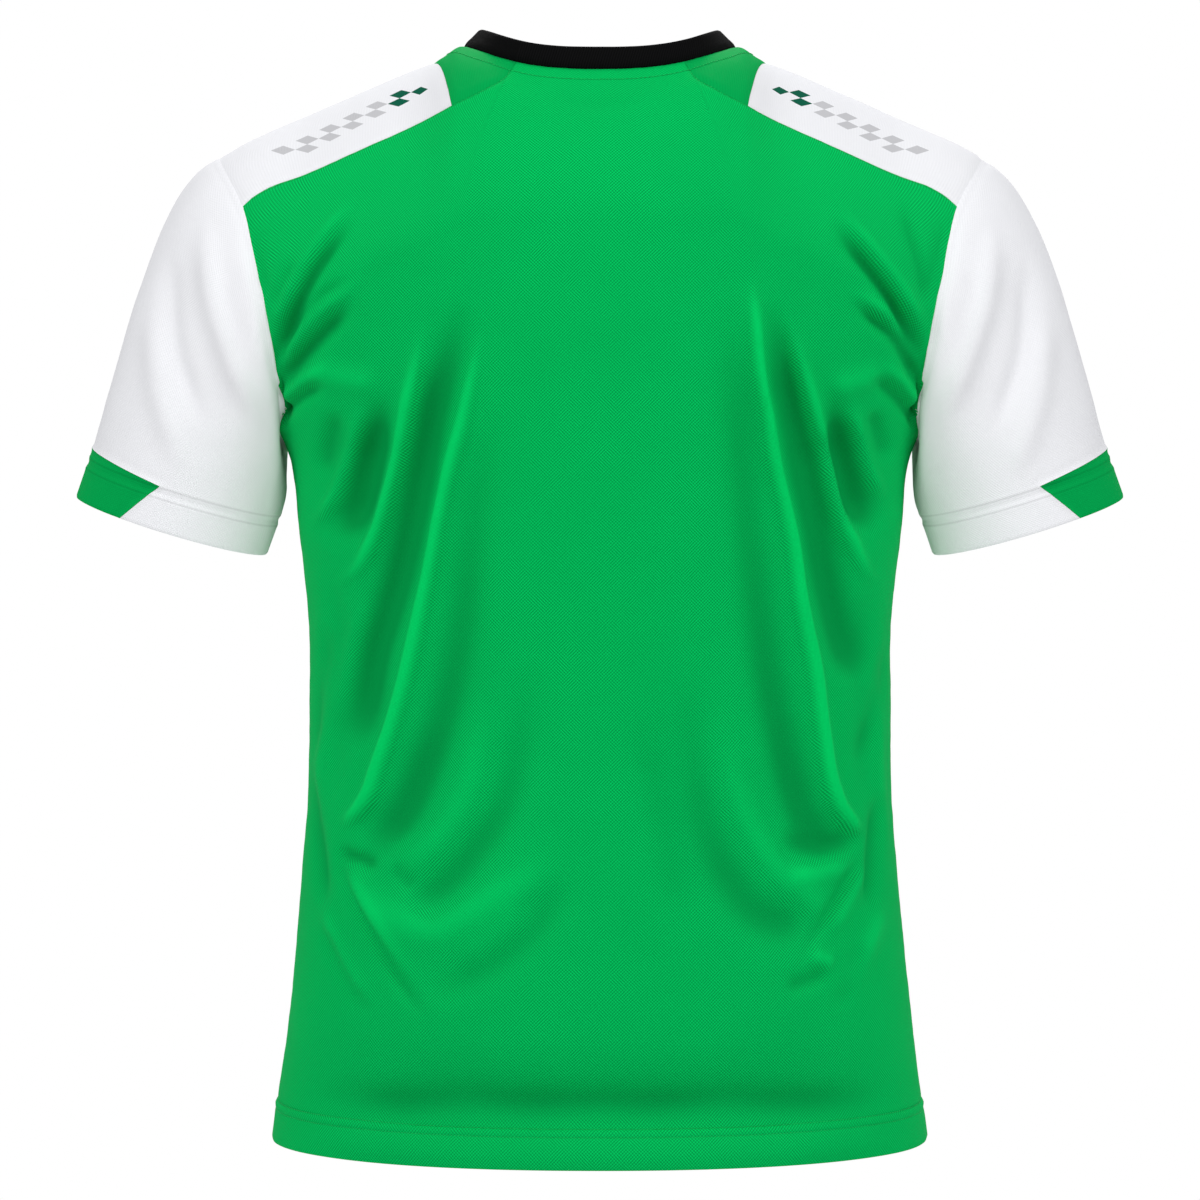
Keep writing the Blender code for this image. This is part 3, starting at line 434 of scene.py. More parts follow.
GREEN = (0.0004, 0.4250, 0.0880)
DARK_GREEN = (0.0010, 0.0900, 0.0480)
WHITE = (0.718, 0.722, 0.748)
GREY = (0.46, 0.46, 0.48)
BLACK = (0.0024, 0.0024, 0.0026)
KNIT_PITCH = 0.0021         # along the knit's diagonal rows of loops
KNIT_PATCHES = 95.0         # scale of the patches where one set of rows is the clearer one
KNIT_FUZZ = 520.0           # scale of the unevenness of single loops
RIB_PITCH = 0.0017

# Generic two-row chequer on the back half of each white shoulder strip
CHECK = 0.0086              # side of a square
CHECK_FROM, CHECK_TO = 0.0540, 0.1572      # along the strip, from the neck outwards
CHECK_DARK_TO = 0.0798      # the squares nearest the neck are dark green
KEEP_POSITIVE = 40.0        # an even number added to the count of squares
CHECK_LOW, CHECK_HIGH = 0.0330, 0.0502     # across the strip, from the ridge towards the back


# ------------------------------------------------------------------ curves and tables

def smooth(table, column, at):
    """Reads a table's column at the given keys along a smooth curve through its rows."""
    keys = np.array([row[0] for row in table])
    values = np.array([row[column] for row in table])
    at = np.clip(np.asarray(at, dtype=float), keys[0], keys[-1])
    step = np.diff(keys)
    slope = np.diff(values) / step
    lean = np.concatenate(([slope[0]], np.zeros(len(keys) - 2), [slope[-1]]))
    inner = slope[:-1] * slope[1:] > 0
    weights = step[:-1] + step[1:]
    mean = (slope[:-1] * step[1:] + slope[1:] * step[:-1]) / weights
    cap = 3 * np.minimum(np.abs(slope[:-1]), np.abs(slope[1:]))
    lean[1:-1] = np.where(inner, np.clip(mean, -cap, cap), 0.0)
    i = np.clip(np.searchsorted(keys, at, side="right") - 1, 0, len(keys) - 2)
    t = (at - keys[i]) / step[i]
    return (
        values[i] * (1 + 2 * t) * (1 - t) ** 2
        + values[i + 1] * t * t * (3 - 2 * t)
        + step[i] * (lean[i] * t * (1 - t) ** 2 - lean[i + 1] * t * t * (1 - t))
    )


def lengths_along(curve):
    """Length from the first point of a curve, or of each column of a grid, to each of its points."""
    steps = np.linalg.norm(np.diff(curve, axis=0), axis=-1)
    return np.concatenate((np.zeros((1,) + steps.shape[1:]), np.cumsum(steps, axis=0)))


def read_along(curve, lengths, at):
    """Reads a curve, whose points lie at the given lengths, at other lengths."""
    return np.column_stack([np.interp(at, lengths, curve[:, k]) for k in range(curve.shape[1])])


def even_steps(curve, count):
    """Resamples a finely drawn curve to count cells of equal length."""
    lengths = lengths_along(curve)
    return read_along(curve, lengths, np.linspace(0.0, lengths[-1], count + 1))


def through(points, count):
    """Points at even steps along a rounded curve through the given ones."""
    points = np.asarray(points, dtype=float)
    lengths = lengths_along(points)
    rows = [(length, *point) for length, point in zip(lengths, points)]
    fine = np.linspace(0.0, lengths[-1], 40 * len(points))
    curve = np.column_stack([smooth(rows, k + 1, fine) for k in range(points.shape[1])])
    return even_steps(curve, count)


def bell(distance, width):
    """A soft hump: 1 at no distance, fading out over the width."""
    return np.exp(-((distance / width) ** 2))


def filled(foot, head, left, right):
    """Fills the four-sided space between two rows and two columns of points that share their corners."""
    across = np.linspace(0.0, 1.0, len(foot))[None, :, None]
    up = np.linspace(0.0, 1.0, len(left))[:, None, None]
    rows = (1 - up) * foot[None] + up * head[None]
    columns = (1 - across) * left[:, None] + across * right[:, None]
    low = (1 - across) * foot[0] + across * foot[-1]
    high = (1 - across) * head[0] + across * head[-1]
    return rows + columns - (1 - up) * low - up * high


# ------------------------------------------------------------------ the body's surface

def armhole_reach(z):
    """How far the body's ring is from the side line at its edge: nothing below the armpit."""
    turn = np.clip((z - ARMPIT_Z) / ARMHOLE_BOWL, 0.0, 1.0)
    spread = np.maximum(z - ARMPIT_Z - ARMHOLE_BOWL, 0.0) * ARMHOLE_SPREAD
    return ARMHOLE_REACH * np.sqrt(1 - (1 - turn) ** 2) + spread


def ring_reach(z, side):
    return smooth(REACHES, 1 if side == BACK else 2, z)


def edge_angle(z, side):
    """Angle of a body ring from the middle line to the ring's edge."""
    return np.arccos((armhole_reach(z) / ring_reach(z, side)) ** (1 / BOXINESS))


def ring_angle(x, z):
    sine = (np.abs(x) / smooth(HALF_WIDTHS, 1, z)) ** (1 / BOXINESS)
    return np.arcsin(np.clip(sine, 0.0, 1.0))


def ring_turn(share, z, side):
    """Angle along a ring for a share from 0, the middle line, to 1, the edge, bent by the armhole."""
    missing = 0.5 * math.pi - edge_angle(z, side)
    power = np.clip(0.45 * math.pi / np.maximum(missing, 1e-6), 1.0, MOST_BEND)
    return 0.5 * math.pi * share - missing * share ** power


def ring_share(x, z, side):
    """Where x lies along its ring: 0 at the middle line, 1 at the edge."""
    turn = ring_angle(x, z)
    low, high = np.zeros_like(turn), np.ones_like(turn)
    for _ in range(40):
        middle = 0.5 * (low + high)
        beyond = ring_turn(middle, z, side) > turn
        low, high = np.where(beyond, low, middle), np.where(beyond, middle, high)
    return np.sign(x) * low


def ring_x(share, z, side):
    turn = ring_turn(np.abs(share), z, side)
    return np.sign(share) * smooth(HALF_WIDTHS, 1, z) * np.sin(turn) ** BOXINESS


def ridge_height(x):
    return smooth(RIDGE, 1, np.abs(x))


def arch_drop(x, side):
    middle, tip = ARCH_DROPS[side]
    return middle + (tip - middle) * np.abs(x) / TIP_X


def arch_angle(x, z, side):
    """Angle of the arch over the shoulder: 0 on the ridge, a quarter turn where the body hangs upright."""
    fall = np.clip((ridge_height(x) - z) / arch_drop(x, side), 0.0, 1.0)
    return np.arccos(1 - fall)


def arch_height(x, angle, side):
    return ridge_height(x) - arch_drop(x, side) * (1 - np.cos(angle))


def arch_share(x, angle):
    """How much of its full reach the arch has at an angle: it leaves the ridge in a tight curve."""
    pinch = smooth(ARCH_PINCHES, 1, np.abs(x))
    return np.sin(angle) * (1 - pinch * np.cos(angle) ** PINCH_POWER)


def body_point(x, z, side):
    """The point of the back or front that lies at x and z."""
    reach = ring_reach(z, side) * np.cos(ring_angle(x, z)) ** BOXINESS
    return np.stack([x, side * reach * arch_share(x, arch_angle(x, z, side)), z], axis=-1)


# ------------------------------------------------------------------ seam lines, on the wearer's right

def armhole_line(side, count):
    """Heights of the armhole's points from the armpit up to the yoke corner."""
    turn = np.linspace(0.0, 0.5 * math.pi, 400)
    bowl = ARMPIT_Z + ARMHOLE_BOWL * (1 - np.cos(turn))
    z = np.concatenate((bowl, np.linspace(bowl[-1], CORNER_Z, 120)[1:]))
    points = body_point(ring_x(1.0, z, side), z, side)
    return even_steps(points, count)[:, 2]


def shoulder_end(side, count):
    """Armhole from the yoke corner to the tip on the ridge, as (x, arch angle)."""
    x = np.linspace(float(ring_x(1.0, CORNER_Z, side)), TIP_X, 160)
    start = float(arch_angle(x[0], CORNER_Z, side))
    share = (x - x[0]) / (x[-1] - x[0])
    angle = start * np.sqrt(np.clip(1 - share, 0.0, 1.0)) * (1 - SHOULDER_BOW * share * (1 - share))
    lengths = lengths_along(body_point(x, arch_height(x, angle, side), side))
    return read_along(np.column_stack((x, angle)), lengths, np.linspace(0.0, lengths[-1], count + 1))


def neck_height(x, side):
    floor, rise, power = NECK_SHAPE[side]
    return floor + rise * (np.abs(x) / NECK_HALF_WIDTH) ** power


def neck_line(side, start, end, count):
    """Neck seam between two distances from the middle, as (x, z)."""
    first = math.asin(start / NECK_HALF_WIDTH)
    last = math.asin(end / NECK_HALF_WIDTH)
    x = NECK_HALF_WIDTH * np.sin(np.linspace(first, last, count + 1))
    return np.column_stack((x, neck_height(x, side)))


def yoke_seam(side):
    """Yoke seam from the neck to the armhole, as (x, z), with a point at each column of cells."""
    start = (NECK_JUNCTION[side], float(neck_height(NECK_JUNCTION[side], side)))
    corner = (float(ring_x(1.0, CORNER_Z, side)), CORNER_Z)
    fine = through((start, *YOKE_SEAMS[side], corner), 600)
    split = int(np.argmin(np.abs(fine[:, 0] - INSERT_EDGE[side])))
    inner = even_steps(fine[: split + 1], INSERT_COLUMNS)
    outer = even_steps(fine[split:], SHOULDER_COLUMNS)
    return np.vstack((inner, outer[1:]))


def ridge_line():
    """Ridge of the shoulder from the neck to the tip, as (x, arch angle 0)."""
    inner = np.linspace(NECK_HALF_WIDTH, INSERT_RIDGE, INSERT_COLUMNS + 1)
    outer = np.linspace(INSERT_RIDGE, TIP_X, SHOULDER_COLUMNS + 1)
    x = np.concatenate((inner, outer[1:]))
    return np.column_stack((x, np.zeros(len(x))))


# ------------------------------------------------------------------ grids of points

def lifted_corners(share, height):
    """Points below the armpit as (share of the half width, height), with the hem curved up at its corners."""
    fall = (ARMPIT_Z - height) / (ARMPIT_Z - HEM_Z)
    return np.stack((share, height + HEM_CORNER * fall ** 2 * np.abs(share) ** 3), axis=-1)


def body_grid(side):
    """Back or front: rows from the hem up, columns from the wearer's left to the right."""
    half = NECK_COLUMNS + INSERT_COLUMNS + SHOULDER_COLUMNS
    right = smooth(COLUMN_SHARES, 1, np.linspace(0.0, 1.0, half + 1))
    share = np.concatenate((-right[:0:-1], right))
    hem = np.linspace(HEM_Z, HEM_Z + HEM_ZONE, HEM_ROWS + 1)
    rest = np.linspace(HEM_Z + HEM_ZONE, ARMPIT_Z, BODY_ROWS + 1)
    low = lifted_corners(*np.meshgrid(share, np.concatenate((hem, rest[1:]))))

    neck = neck_line(side, 0.0, NECK_JUNCTION[side], NECK_COLUMNS)
    outline = np.vstack((neck, yoke_seam(side)[1:]))
    head_share = ring_share(outline[:, 0], outline[:, 1], side)
    head_share[-1] = 1.0
    head_share = np.concatenate((-head_share[:0:-1], head_share))
    head_height = np.concatenate((outline[:0:-1, 1], outline[:, 1]))
    up = np.linspace(0.0, 1.0, ARMHOLE_ROWS + 1)[:, None]
    high_share = (1 - up) * share + up * head_share
    sway = armhole_line(side, ARMHOLE_ROWS)[:, None] - (1 - up) * ARMPIT_Z - up * CORNER_Z
    height = (1 - up) * ARMPIT_Z + up * head_height + sway * np.abs(high_share) ** ARMHOLE_SWAY

    shares = np.vstack((low[..., 0], high_share[1:]))
    heights = np.vstack((low[..., 1], height[1:]))
    return body_point(ring_x(shares, heights, side), heights, side)


def strip_half(side):
    """Half of the shoulder strip: rows from the yoke seam to the ridge, columns from the neck outwards."""
    seam = yoke_seam(side)
    foot = np.column_stack((seam[:, 0], arch_angle(seam[:, 0], seam[:, 1], side)))
    neck = neck_line(side, NECK_JUNCTION[side], NECK_HALF_WIDTH, STRIP_ROWS)
    left = np.column_stack((neck[:, 0], arch_angle(neck[:, 0], neck[:, 1], side)))
    head, edge = ridge_line(), INSERT_COLUMNS
    up = np.linspace(0.0, 1.0, STRIP_ROWS + 1)[:, None]
    border = (1 - up) * foot[edge] + up * head[edge]
    insert = filled(foot[: edge + 1], head[: edge + 1], left, border)
    panel = filled(foot[edge:], head[edge:], border, shoulder_end(side, STRIP_ROWS))
    grid = np.concatenate((insert, panel[:, 1:]), axis=1)
    x, angle = grid[..., 0], grid[..., 1]
    return body_point(x, arch_height(x, angle, side), side)


def sleeve_turns():
    """Angle round the sleeve for each point of the armhole loop: 180 at the armpit, 0 at the tip."""
    under = np.linspace(180.0, WEDGE_TOP, ARMHOLE_ROWS - WEDGE_EXTRA + 1)
    beside = np.linspace(WEDGE_TOP, CORNER_TURN, WEDGE_EXTRA + 1)
    over = np.linspace(CORNER_TURN, 0.0, STRIP_ROWS + 1)
    half = np.concatenate((under, beside[1:], over[1:]))
    return np.concatenate((-half, half[-2::-1]))


def cuff_point(turn, height):
    """A point of the cuff at an angle round it, negative at the back, and a height above its edge."""
    foot = WEDGE_FOOT / WEDGE_TOP
    squeeze = foot + (1 - foot) * np.clip(height / HEM_DEPTH, 0.0, 1.0)
    size = np.abs(turn)
    inside = size * squeeze
    outside = 180 - (180 - size) * (180 - WEDGE_TOP * squeeze) / (180 - WEDGE_TOP)
    angle = np.radians(np.where(size <= WEDGE_TOP, inside, outside)) * np.sign(turn)
    forward = np.cross(CUFF_OUT, ARM_AXIS)
    wide = CUFF_HALF_WIDTH + CUFF_TAPER * height
    centre = CUFF_CENTRE - (ARM_AXIS + CUFF_OUT * CUFF_LEAN) * height[..., None]
    across = CUFF_OUT * (wide * np.cos(angle))[..., None]
    depth = CUFF_HALF_DEPTH + CUFF_TAPER * height
    return centre + across + forward * (depth * np.sin(angle))[..., None]


def wedge_height(turn):
    """Height of the hem line above the cuff's edge; it rises over the cuff insert."""
    rise = np.cos(np.radians(90.0 * np.clip(np.abs(turn) / WEDGE_TOP, 0.0, 1.0)))
    return HEM_DEPTH + WEDGE_RISE * rise


def sleeve_grid(loop):
    """Right sleeve: rows from the cuff's edge up to the armhole, columns round the armhole loop."""
    turn = sleeve_turns()
    size = np.abs(turn)
    out = np.stack([smooth(SLEEVE_PULLS, k, size) for k in (1, 2, 3)], axis=-1)
    out *= np.stack([np.ones(len(turn)), np.sign(turn), -np.ones(len(turn))], axis=-1)
    out *= (smooth(SLEEVE_PULLS, 4, size) / np.linalg.norm(out, axis=-1))[:, None]
    top = wedge_height(turn)
    end = cuff_point(turn, top)
    down = cuff_point(turn, top - 0.5 * HEM_DEPTH) - end
    down *= (smooth(SLEEVE_PULLS, 5, size) / np.linalg.norm(down, axis=-1))[:, None]
    rows = [cuff_point(turn, top * t) for t in np.linspace(0.0, 1.0, CUFF_ROWS + 1)[:-1]]
    for t in np.linspace(1.0, 0.0, SLEEVE_ROWS + 1):
        rows.append(
            loop * (1 + 2 * t) * (1 - t) ** 2
            + end * t * t * (3 - 2 * t)
            + out * t * (1 - t) ** 2
            - down * t * t * (1 - t)
        )
    return np.array(rows)


def collar_grid(loop):
    """Collar band: rows from the neck seam up, columns round the neck."""
    side = np.clip(np.abs(loop[:, 0]) / NECK_HALF_WIDTH, 0.0, 1.0) ** 2
    middle = np.where(loop[:, 1:2] < 0, (COLLAR_BACK,), (COLLAR_FRONT,))
    top = np.column_stack(
        (
            -np.sign(loop[:, 0]) * COLLAR_SIDE[0] * side,
            middle[:, 0] * (1 - side) * -np.sign(loop[:, 1]),
            middle[:, 1] * (1 - side) + COLLAR_SIDE[1] * side,
        )
    )
    return np.array([loop + top * (t, t * t, t) for t in np.linspace(0.0, 1.0, COLLAR_ROWS + 1)])


# ------------------------------------------------------------------ patches of cloth

class Patch:
    """A grid of points of one tube of the garment, with the piece that each cell belongs to.

    Its flat place is measured from the row and column in middle. edge names the row of points that is a
    turned edge: foot or head.
    """

    def __init__(
        self, name, tube, grid, pieces, middle, mirrored=False, edge=None, above_hem=None, below_neck=None
    ):
        self.name, self.tube, self.grid = name, tube, grid
        self.pieces, self.mirrored = pieces, mirrored
        row, column = middle
        across = lengths_along(grid.swapaxes(0, 1)).T
        up = lengths_along(grid)
        self.flat = np.stack((across - across[:, column][:, None], up - up[row]), axis=-1)
        far = np.ones(up.shape)
        self.from_edge = {"foot": up, "head": up[-1] - up}.get(edge, far)
        self.above_hem = far if above_hem is None else above_hem
        self.to_rows = np.stack((self.above_hem, far if below_neck is None else below_neck), axis=-1)


def named(rows, columns, name):
    return np.full((rows, columns), name, dtype=object)


def strip_pieces(hand, rows, columns):
    pieces = named(rows, columns, f"shoulder_panel_{hand}")
    pieces[:, :INSERT_COLUMNS] = f"shoulder_insert_{hand}"
    return pieces


def sleeve_pieces(hand, rows, columns):
    pieces = named(rows, columns, f"sleeve_{hand}")
    turns = sleeve_turns()
    in_wedge = np.abs(0.5 * (turns[1:] + turns[:-1])) < WEDGE_TOP
    pieces[:CUFF_ROWS, in_wedge] = f"cuff_insert_{hand}"
    return pieces


def jersey_patches():
    """Every patch of the garment, with the same outward side all over."""
    back, front = body_grid(BACK), body_grid(FRONT)
    strip = np.vstack((strip_half(BACK), strip_half(FRONT)[-2::-1]))
    low = HEM_ROWS + BODY_ROWS
    loop = np.vstack((back[low:, -1], strip[1:, -1], front[low:, -1][-2::-1]))
    sleeve = sleeve_grid(loop)
    rows, columns = back.shape[0] - 1, back.shape[1] - 1
    first = INSERT_COLUMNS + SHOULDER_COLUMNS
    neck = slice(first, first + 2 * NECK_COLUMNS + 1)
    patches = []
    for side, grid in (("back", back), ("front", front)):
        up = lengths_along(grid)
        below = np.ones(up.shape)
        below[:, neck] = (up[-1] - up)[:, neck]
        pieces, middle = named(rows, columns, side + "_panel"), (0, columns // 2)
        patches.append(Patch(side, "body", grid, pieces, middle, side == "front", "foot", up, below))
    up = lengths_along(sleeve)
    up = up * wedge_height(sleeve_turns()) / up[CUFF_ROWS]
    above_cuff = np.interp(up, (0.0, CUFF_LOWER, CUFF_UPPER, 1.0), (0.0, HEM_LOWER, HEM_UPPER, 1.0))
    across_strip = lengths_along(strip.swapaxes(0, 1)).T
    for hand, turn in (("right", 1.0), ("left", -1.0)):
        side = np.array([turn, 1.0, 1.0])
        rows, columns = strip.shape[0] - 1, strip.shape[1] - 1
        pieces = strip_pieces(hand, rows, columns)
        middle = (STRIP_ROWS, 0)
        patches.append(Patch(
            f"strip_{hand}", "body", strip * side, pieces, middle, turn < 0, below_neck=across_strip
        ))
        rows, columns = sleeve.shape[0] - 1, sleeve.shape[1] - 1
        pieces = sleeve_pieces(hand, rows, columns)
        middle = (0, columns // 2)
        patches.append(Patch(
            f"sleeve_{hand}", "sleeve", sleeve * side, pieces, middle, turn < 0, "foot", above_cuff
        ))

    left = strip[:, 0] * (-1.0, 1.0, 1.0)
    neck_loop = np.vstack((back[-1, neck], strip[1:, 0], front[-1, neck][-2::-1], left[-2::-1]))
    band = collar_grid(neck_loop)
    pieces = named(band.shape[0] - 1, band.shape[1] - 1, "collar")
    patches.append(Patch("collar", "collar", band, pieces, (0, 0), edge="head"))
    return patches


class Cloth:
    """The patches welded into one net. Points are shared at the seams; each cell keeps its own flat place."""

    def __init__(self, patches):
        self.patches = {patch.name: patch for patch in patches}
        raw = np.vstack([patch.grid.reshape(-1, 3) for patch in patches])
        keys = np.round(raw * WELD_SCALE).astype(np.int64)
        _, first, weld = np.unique(keys, axis=0, return_index=True, return_inverse=True)
        self.points, self.weld = raw[first], weld.ravel()
        self.flat = np.vstack([patch.flat.reshape(-1, 2) for patch in patches])
        self.to_rows = np.vstack([patch.to_rows.reshape(-1, 2) for patch in patches])
        self.above_hem = self.least([patch.above_hem for patch in patches])
        self.from_edge = self.least([patch.from_edge for patch in patches])
        self.index, cells, pieces, tubes = {}, [], [], []
        start = 0
        for patch in patches:
            grid = np.arange(start, start + patch.grid[..., 0].size).reshape(patch.grid.shape[:2])
            start += grid.size
            self.index[patch.name] = grid
            corners = [grid[:-1, :-1], grid[:-1, 1:], grid[1:, 1:], grid[1:, :-1]]
            quads = np.stack(corners, axis=-1).reshape(-1, 4)
            upward = patch.tube != "sleeve"
            cells.append(quads if patch.mirrored != upward else quads[:, ::-1])
            pieces.append(patch.pieces.ravel())
            tubes += [patch.tube] * len(quads)
        self.cells = np.vstack(cells)
        self.corners = self.weld[self.cells]
        self.pieces, self.tubes = np.concatenate(pieces), np.array(tubes)

    def least(self, grids):
        """The smallest of the values that the patches give for each welded point."""
        values = np.full(len(self.points), np.inf)
        np.minimum.at(values, self.weld, np.concatenate([grid.ravel() for grid in grids]))
        return values

    def normals(self):
        """Outward direction at each point, halfway between the tubes where two of them meet."""
        total = np.zeros_like(self.points)
        for tube in np.unique(self.tubes):
            total += point_normals(self.points, self.corners[self.tubes == tube])
        return total / np.linalg.norm(total, axis=1)[:, None]

    def owners(self, labels):
        """For each label, which points its cells touch."""
        every = np.arange(len(self.points))
        return {name: np.isin(every, self.corners[labels == name]) for name in np.unique(labels)}

    def seams(self):
        """Which points lie on a seam between two pieces."""
        return sum(self.owners(self.pieces).values()) > 1

    def grid_of(self, name, values):
        """Values of the welded points, laid out as the patch's grid."""
        return values[self.weld[self.index[name]]]


def point_normals(points, cells):
    """Outward direction at each point from the cells around it, and nothing where there are none."""
    corners = points[cells]
    face = np.cross(corners[:, 2] - corners[:, 0], corners[:, 3] - corners[:, 1])
    total = np.zeros_like(points)
    for k in range(4):
        np.add.at(total, cells[:, k], face)
    return total / np.maximum(np.linalg.norm(total, axis=1), 1e-12)[:, None]


# ------------------------------------------------------------------ creases and seams in the cloth

def nearest_distance(points, targets):
    tree = kdtree.KDTree(len(targets))
    for i, target in enumerate(targets):
        tree.insert(target, i)
    tree.balance()
    return np.array([tree.find(point)[2] for point in points])


def fold_lift(flat, path, width):
    """The points near a fold and its height there, from 0 to 1: rounded across, fading at both ends."""
    knots = np.array([point[:2] for point in path]) / 1000.0
    line = through(knots, 2 * len(path) + 16)
    reach = FOLD_REACH * width
    close = (flat > line.min(axis=0) - reach) & (flat < line.max(axis=0) + reach)
    near = np.flatnonzero(close.all(axis=1))
    start, run = line[:-1], np.diff(line, axis=0)
    offset = flat[near, None, :] - start[None]
    share = np.clip((offset * run).sum(-1) / (run * run).sum(-1), 0.0, 1.0)
    distance = np.linalg.norm(offset - share[..., None] * run, axis=-1)
    nearest = distance.argmin(axis=1)
    row = np.arange(len(near))
    along = (nearest + share[row, nearest]) / len(run)
    if len(path[0]) == 3:
        places = lengths_along(knots)
        fade = smooth([(place / places[-1], point[2]) for place, point in zip(places, path)], 1, along)
    else:
        end = np.clip(np.minimum(along, 1 - along) / FOLD_FADE, 0.0, 1.0)
        fade = end * end * (3 - 2 * end)
    wide = width * (FOLD_TIP + (1 - FOLD_TIP) * np.clip(2 * fade, 0.0, 1.0))
    return near, fade * bell(distance[row, nearest], wide)


def add_folds(cloth):
    """Moves the cloth out along its ridges and in along its troughs."""
    normals = cloth.normals()
    toward = {"back": -normals[:, 1], "front": normals[:, 1], "left": -normals[:, 0], "right": normals[:, 0]}
    touched = cloth.owners(cloth.tubes)
    armhole = nearest_distance(cloth.points, cloth.points[touched["body"] & touched["sleeve"]])
    beyond = bell(armhole, SEAM_REACH)
    reach = {tube: np.where(touched[tube], 1.0, beyond) for tube in touched}
    shift = np.zeros(len(cloth.points))
    for (tube, half), folds in FOLDS.items():
        flat = cloth.points[:, [0, 2]] if half in ("back", "front") else cloth.points[:, [1, 2]]
        for height, width, path in folds:
            near, lift = fold_lift(flat, path, width / 1000.0)
            weight = np.clip(FOLD_FACING * toward[half][near], 0.0, 1.0) * reach[tube][near]
            shift[near] += height / 1000.0 * lift * weight
    cloth.points = cloth.points + normals * shift[:, None]
    # the heights are kept for the painted shade in the troughs and the painted highlight on the ridges
    cloth.crease = shift


def ripple(points, size):
    """Smooth random height, from -1 to 1, with bumps of about the given size."""
    return np.array([noise.noise(Vector(point) / size) for point in points])


def hem_lift(height):
    """How far the turned-up hem stands out, at a height above its edge: two needle rows and a soft roll."""
    doubled = HEM_STEP * (height < HEM_UPPER)
    roll = HEM_ROLL * bell(height - 0.5 * (HEM_LOWER + HEM_UPPER), ROLL_WIDTH)
    rows = sum(ROW_DENT * bell(height - row, DENT_WIDTH) for row in (HEM_LOWER, HEM_UPPER))
    return doubled + roll - rows


def add_seams(cloth):
    """Turns the cloth in along its seams, rolls the hems and leaves it a little uneven."""
    to_seam = nearest_distance(cloth.points, cloth.points[cloth.seams()])
    shift = SWELL * bell(to_seam - SWELL_AT, SWELL_WIDTH) - SEAM_DIP * bell(to_seam, DIP_WIDTH)
    shift += hem_lift(cloth.above_hem)
    shift += sum(height * ripple(cloth.points, size) for height, size in UNEVEN)
    shift += PUCKER * bell(to_seam, PUCKER_REACH) * ripple(cloth.points, PUCKER_SIZE)
    cloth.points = cloth.points + cloth.normals() * shift[:, None]


# ------------------------------------------------------------------ shells

def thickness_of(cloth, piece):
    """Thickness of the shell at each point, thinner at a turned edge so that the edge is round."""
    if piece == "collar":
        full = np.full(len(cloth.points), COLLAR_CLOTH)
    else:
        full = np.where(cloth.above_hem < HEM_UPPER, HEM_CLOTH, CLOTH)
    rounding = np.clip(cloth.from_edge / EDGE_ROUND, 0.0, 1.0)
    return full * (EDGE_CLOTH + (1 - EDGE_CLOTH) * np.sqrt(1 - (1 - rounding) ** 2))


def drawn_back(points, cells):
    """Direction from each point into the piece that the cells make up."""
    middle = points[cells].mean(axis=1)
    total = np.zeros_like(points)
    for k in range(4):
        away = middle - points[cells[:, k]]
        np.add.at(total, cells[:, k], away / np.linalg.norm(away, axis=1)[:, None])
    return total / np.maximum(np.linalg.norm(total, axis=1), 1e-9)[:, None]


def add_shell(cloth, normals, seam, piece):
    """The closed cloth shell of one piece: outer cells, inner cells and a rim."""
    chosen = cloth.pieces == piece
    used, local = np.unique(cloth.corners[chosen], return_inverse=True)
    cells = local.reshape(-1, 4)
    flat = np.concatenate((cloth.flat, cloth.to_rows), axis=1)[cloth.cells[chosen]]
    here = cloth.points[used]
    own = point_normals(here, cells)
    lean = np.clip((own * normals[used]).sum(axis=1), LEAST_LEAN, 1.0)
    out = normals[used] * (0.5 * thickness_of(cloth, piece)[used] / lean)[:, None]
    here = here + drawn_back(here, cells) * (SEAM_DRAW * seam[used])[:, None]
    count = len(used)
    edges = np.concatenate([cells[:, [k, (k + 1) % 4]] for k in range(4)])
    edge_flat = np.concatenate([flat[:, [k, (k + 1) % 4]] for k in range(4)])
    keys = edges[:, 0] * count + edges[:, 1]
    free = ~np.isin(keys, edges[:, 1] * count + edges[:, 0])
    rim = np.column_stack((edges[free][:, ::-1], edges[free] + count))
    rim_flat = np.concatenate((edge_flat[free][:, ::-1], edge_flat[free]), axis=1)
    faces = np.vstack((cells, cells[:, ::-1] + count, rim))
    flats = np.concatenate((flat, flat[:, ::-1], rim_flat))

    mesh = bpy.data.meshes.new(piece + "_cloth")
    mesh.from_pydata(np.vstack((here + out, here - out)), [], faces.tolist())
    mesh.uv_layers.new(name="flat").data.foreach_set("uv", flats[..., :2].ravel())
    mesh.uv_layers.new(name="rows").data.foreach_set("uv", flats[..., 2:].ravel())
    # the folds' heights, which drive the painted shade in the troughs and the painted highlight on the ridges
    crease = mesh.attributes.new("crease", "FLOAT", "POINT")
    crease.data.foreach_set("value", np.tile(np.clip(cloth.crease[used] / FOLD_SHADE_DEPTH, -1.0, 1.0), 2))
    mesh.shade_smooth()
    mesh.set_sharp_from_angle(angle=math.radians(SHARP_ANGLE))
    return add_object(piece + "_cloth", mesh)


def add_object(name, mesh):
    piece = bpy.data.objects.new(name, mesh)
    bpy.context.scene.collection.objects.link(piece)
    return piece


# ------------------------------------------------------------------ stitches

STITCH_PITCH = 0.0024
STITCH_LENGTH = 0.0020
STITCH_LIFT = 0.0002        # the thread's middle lies this far above the cloth
# place along a stitch, its thickness, its lift, how much painted shade it gets where it dives into its hole
STITCH_RINGS = (
    (-1.0, 0.50, -1.1, 1.0),
    (-0.70, 0.85, -0.2, 0.5),
    (-0.35, 1.0, 0.1, 0.0),
    (0.35, 1.0, 0.1, 0.0),
    (0.70, 0.85, -0.2, 0.5),
    (1.0, 0.50, -1.1, 1.0),
)
STITCH_SIDES = 5
THREAD_RADIUS = 0.00022


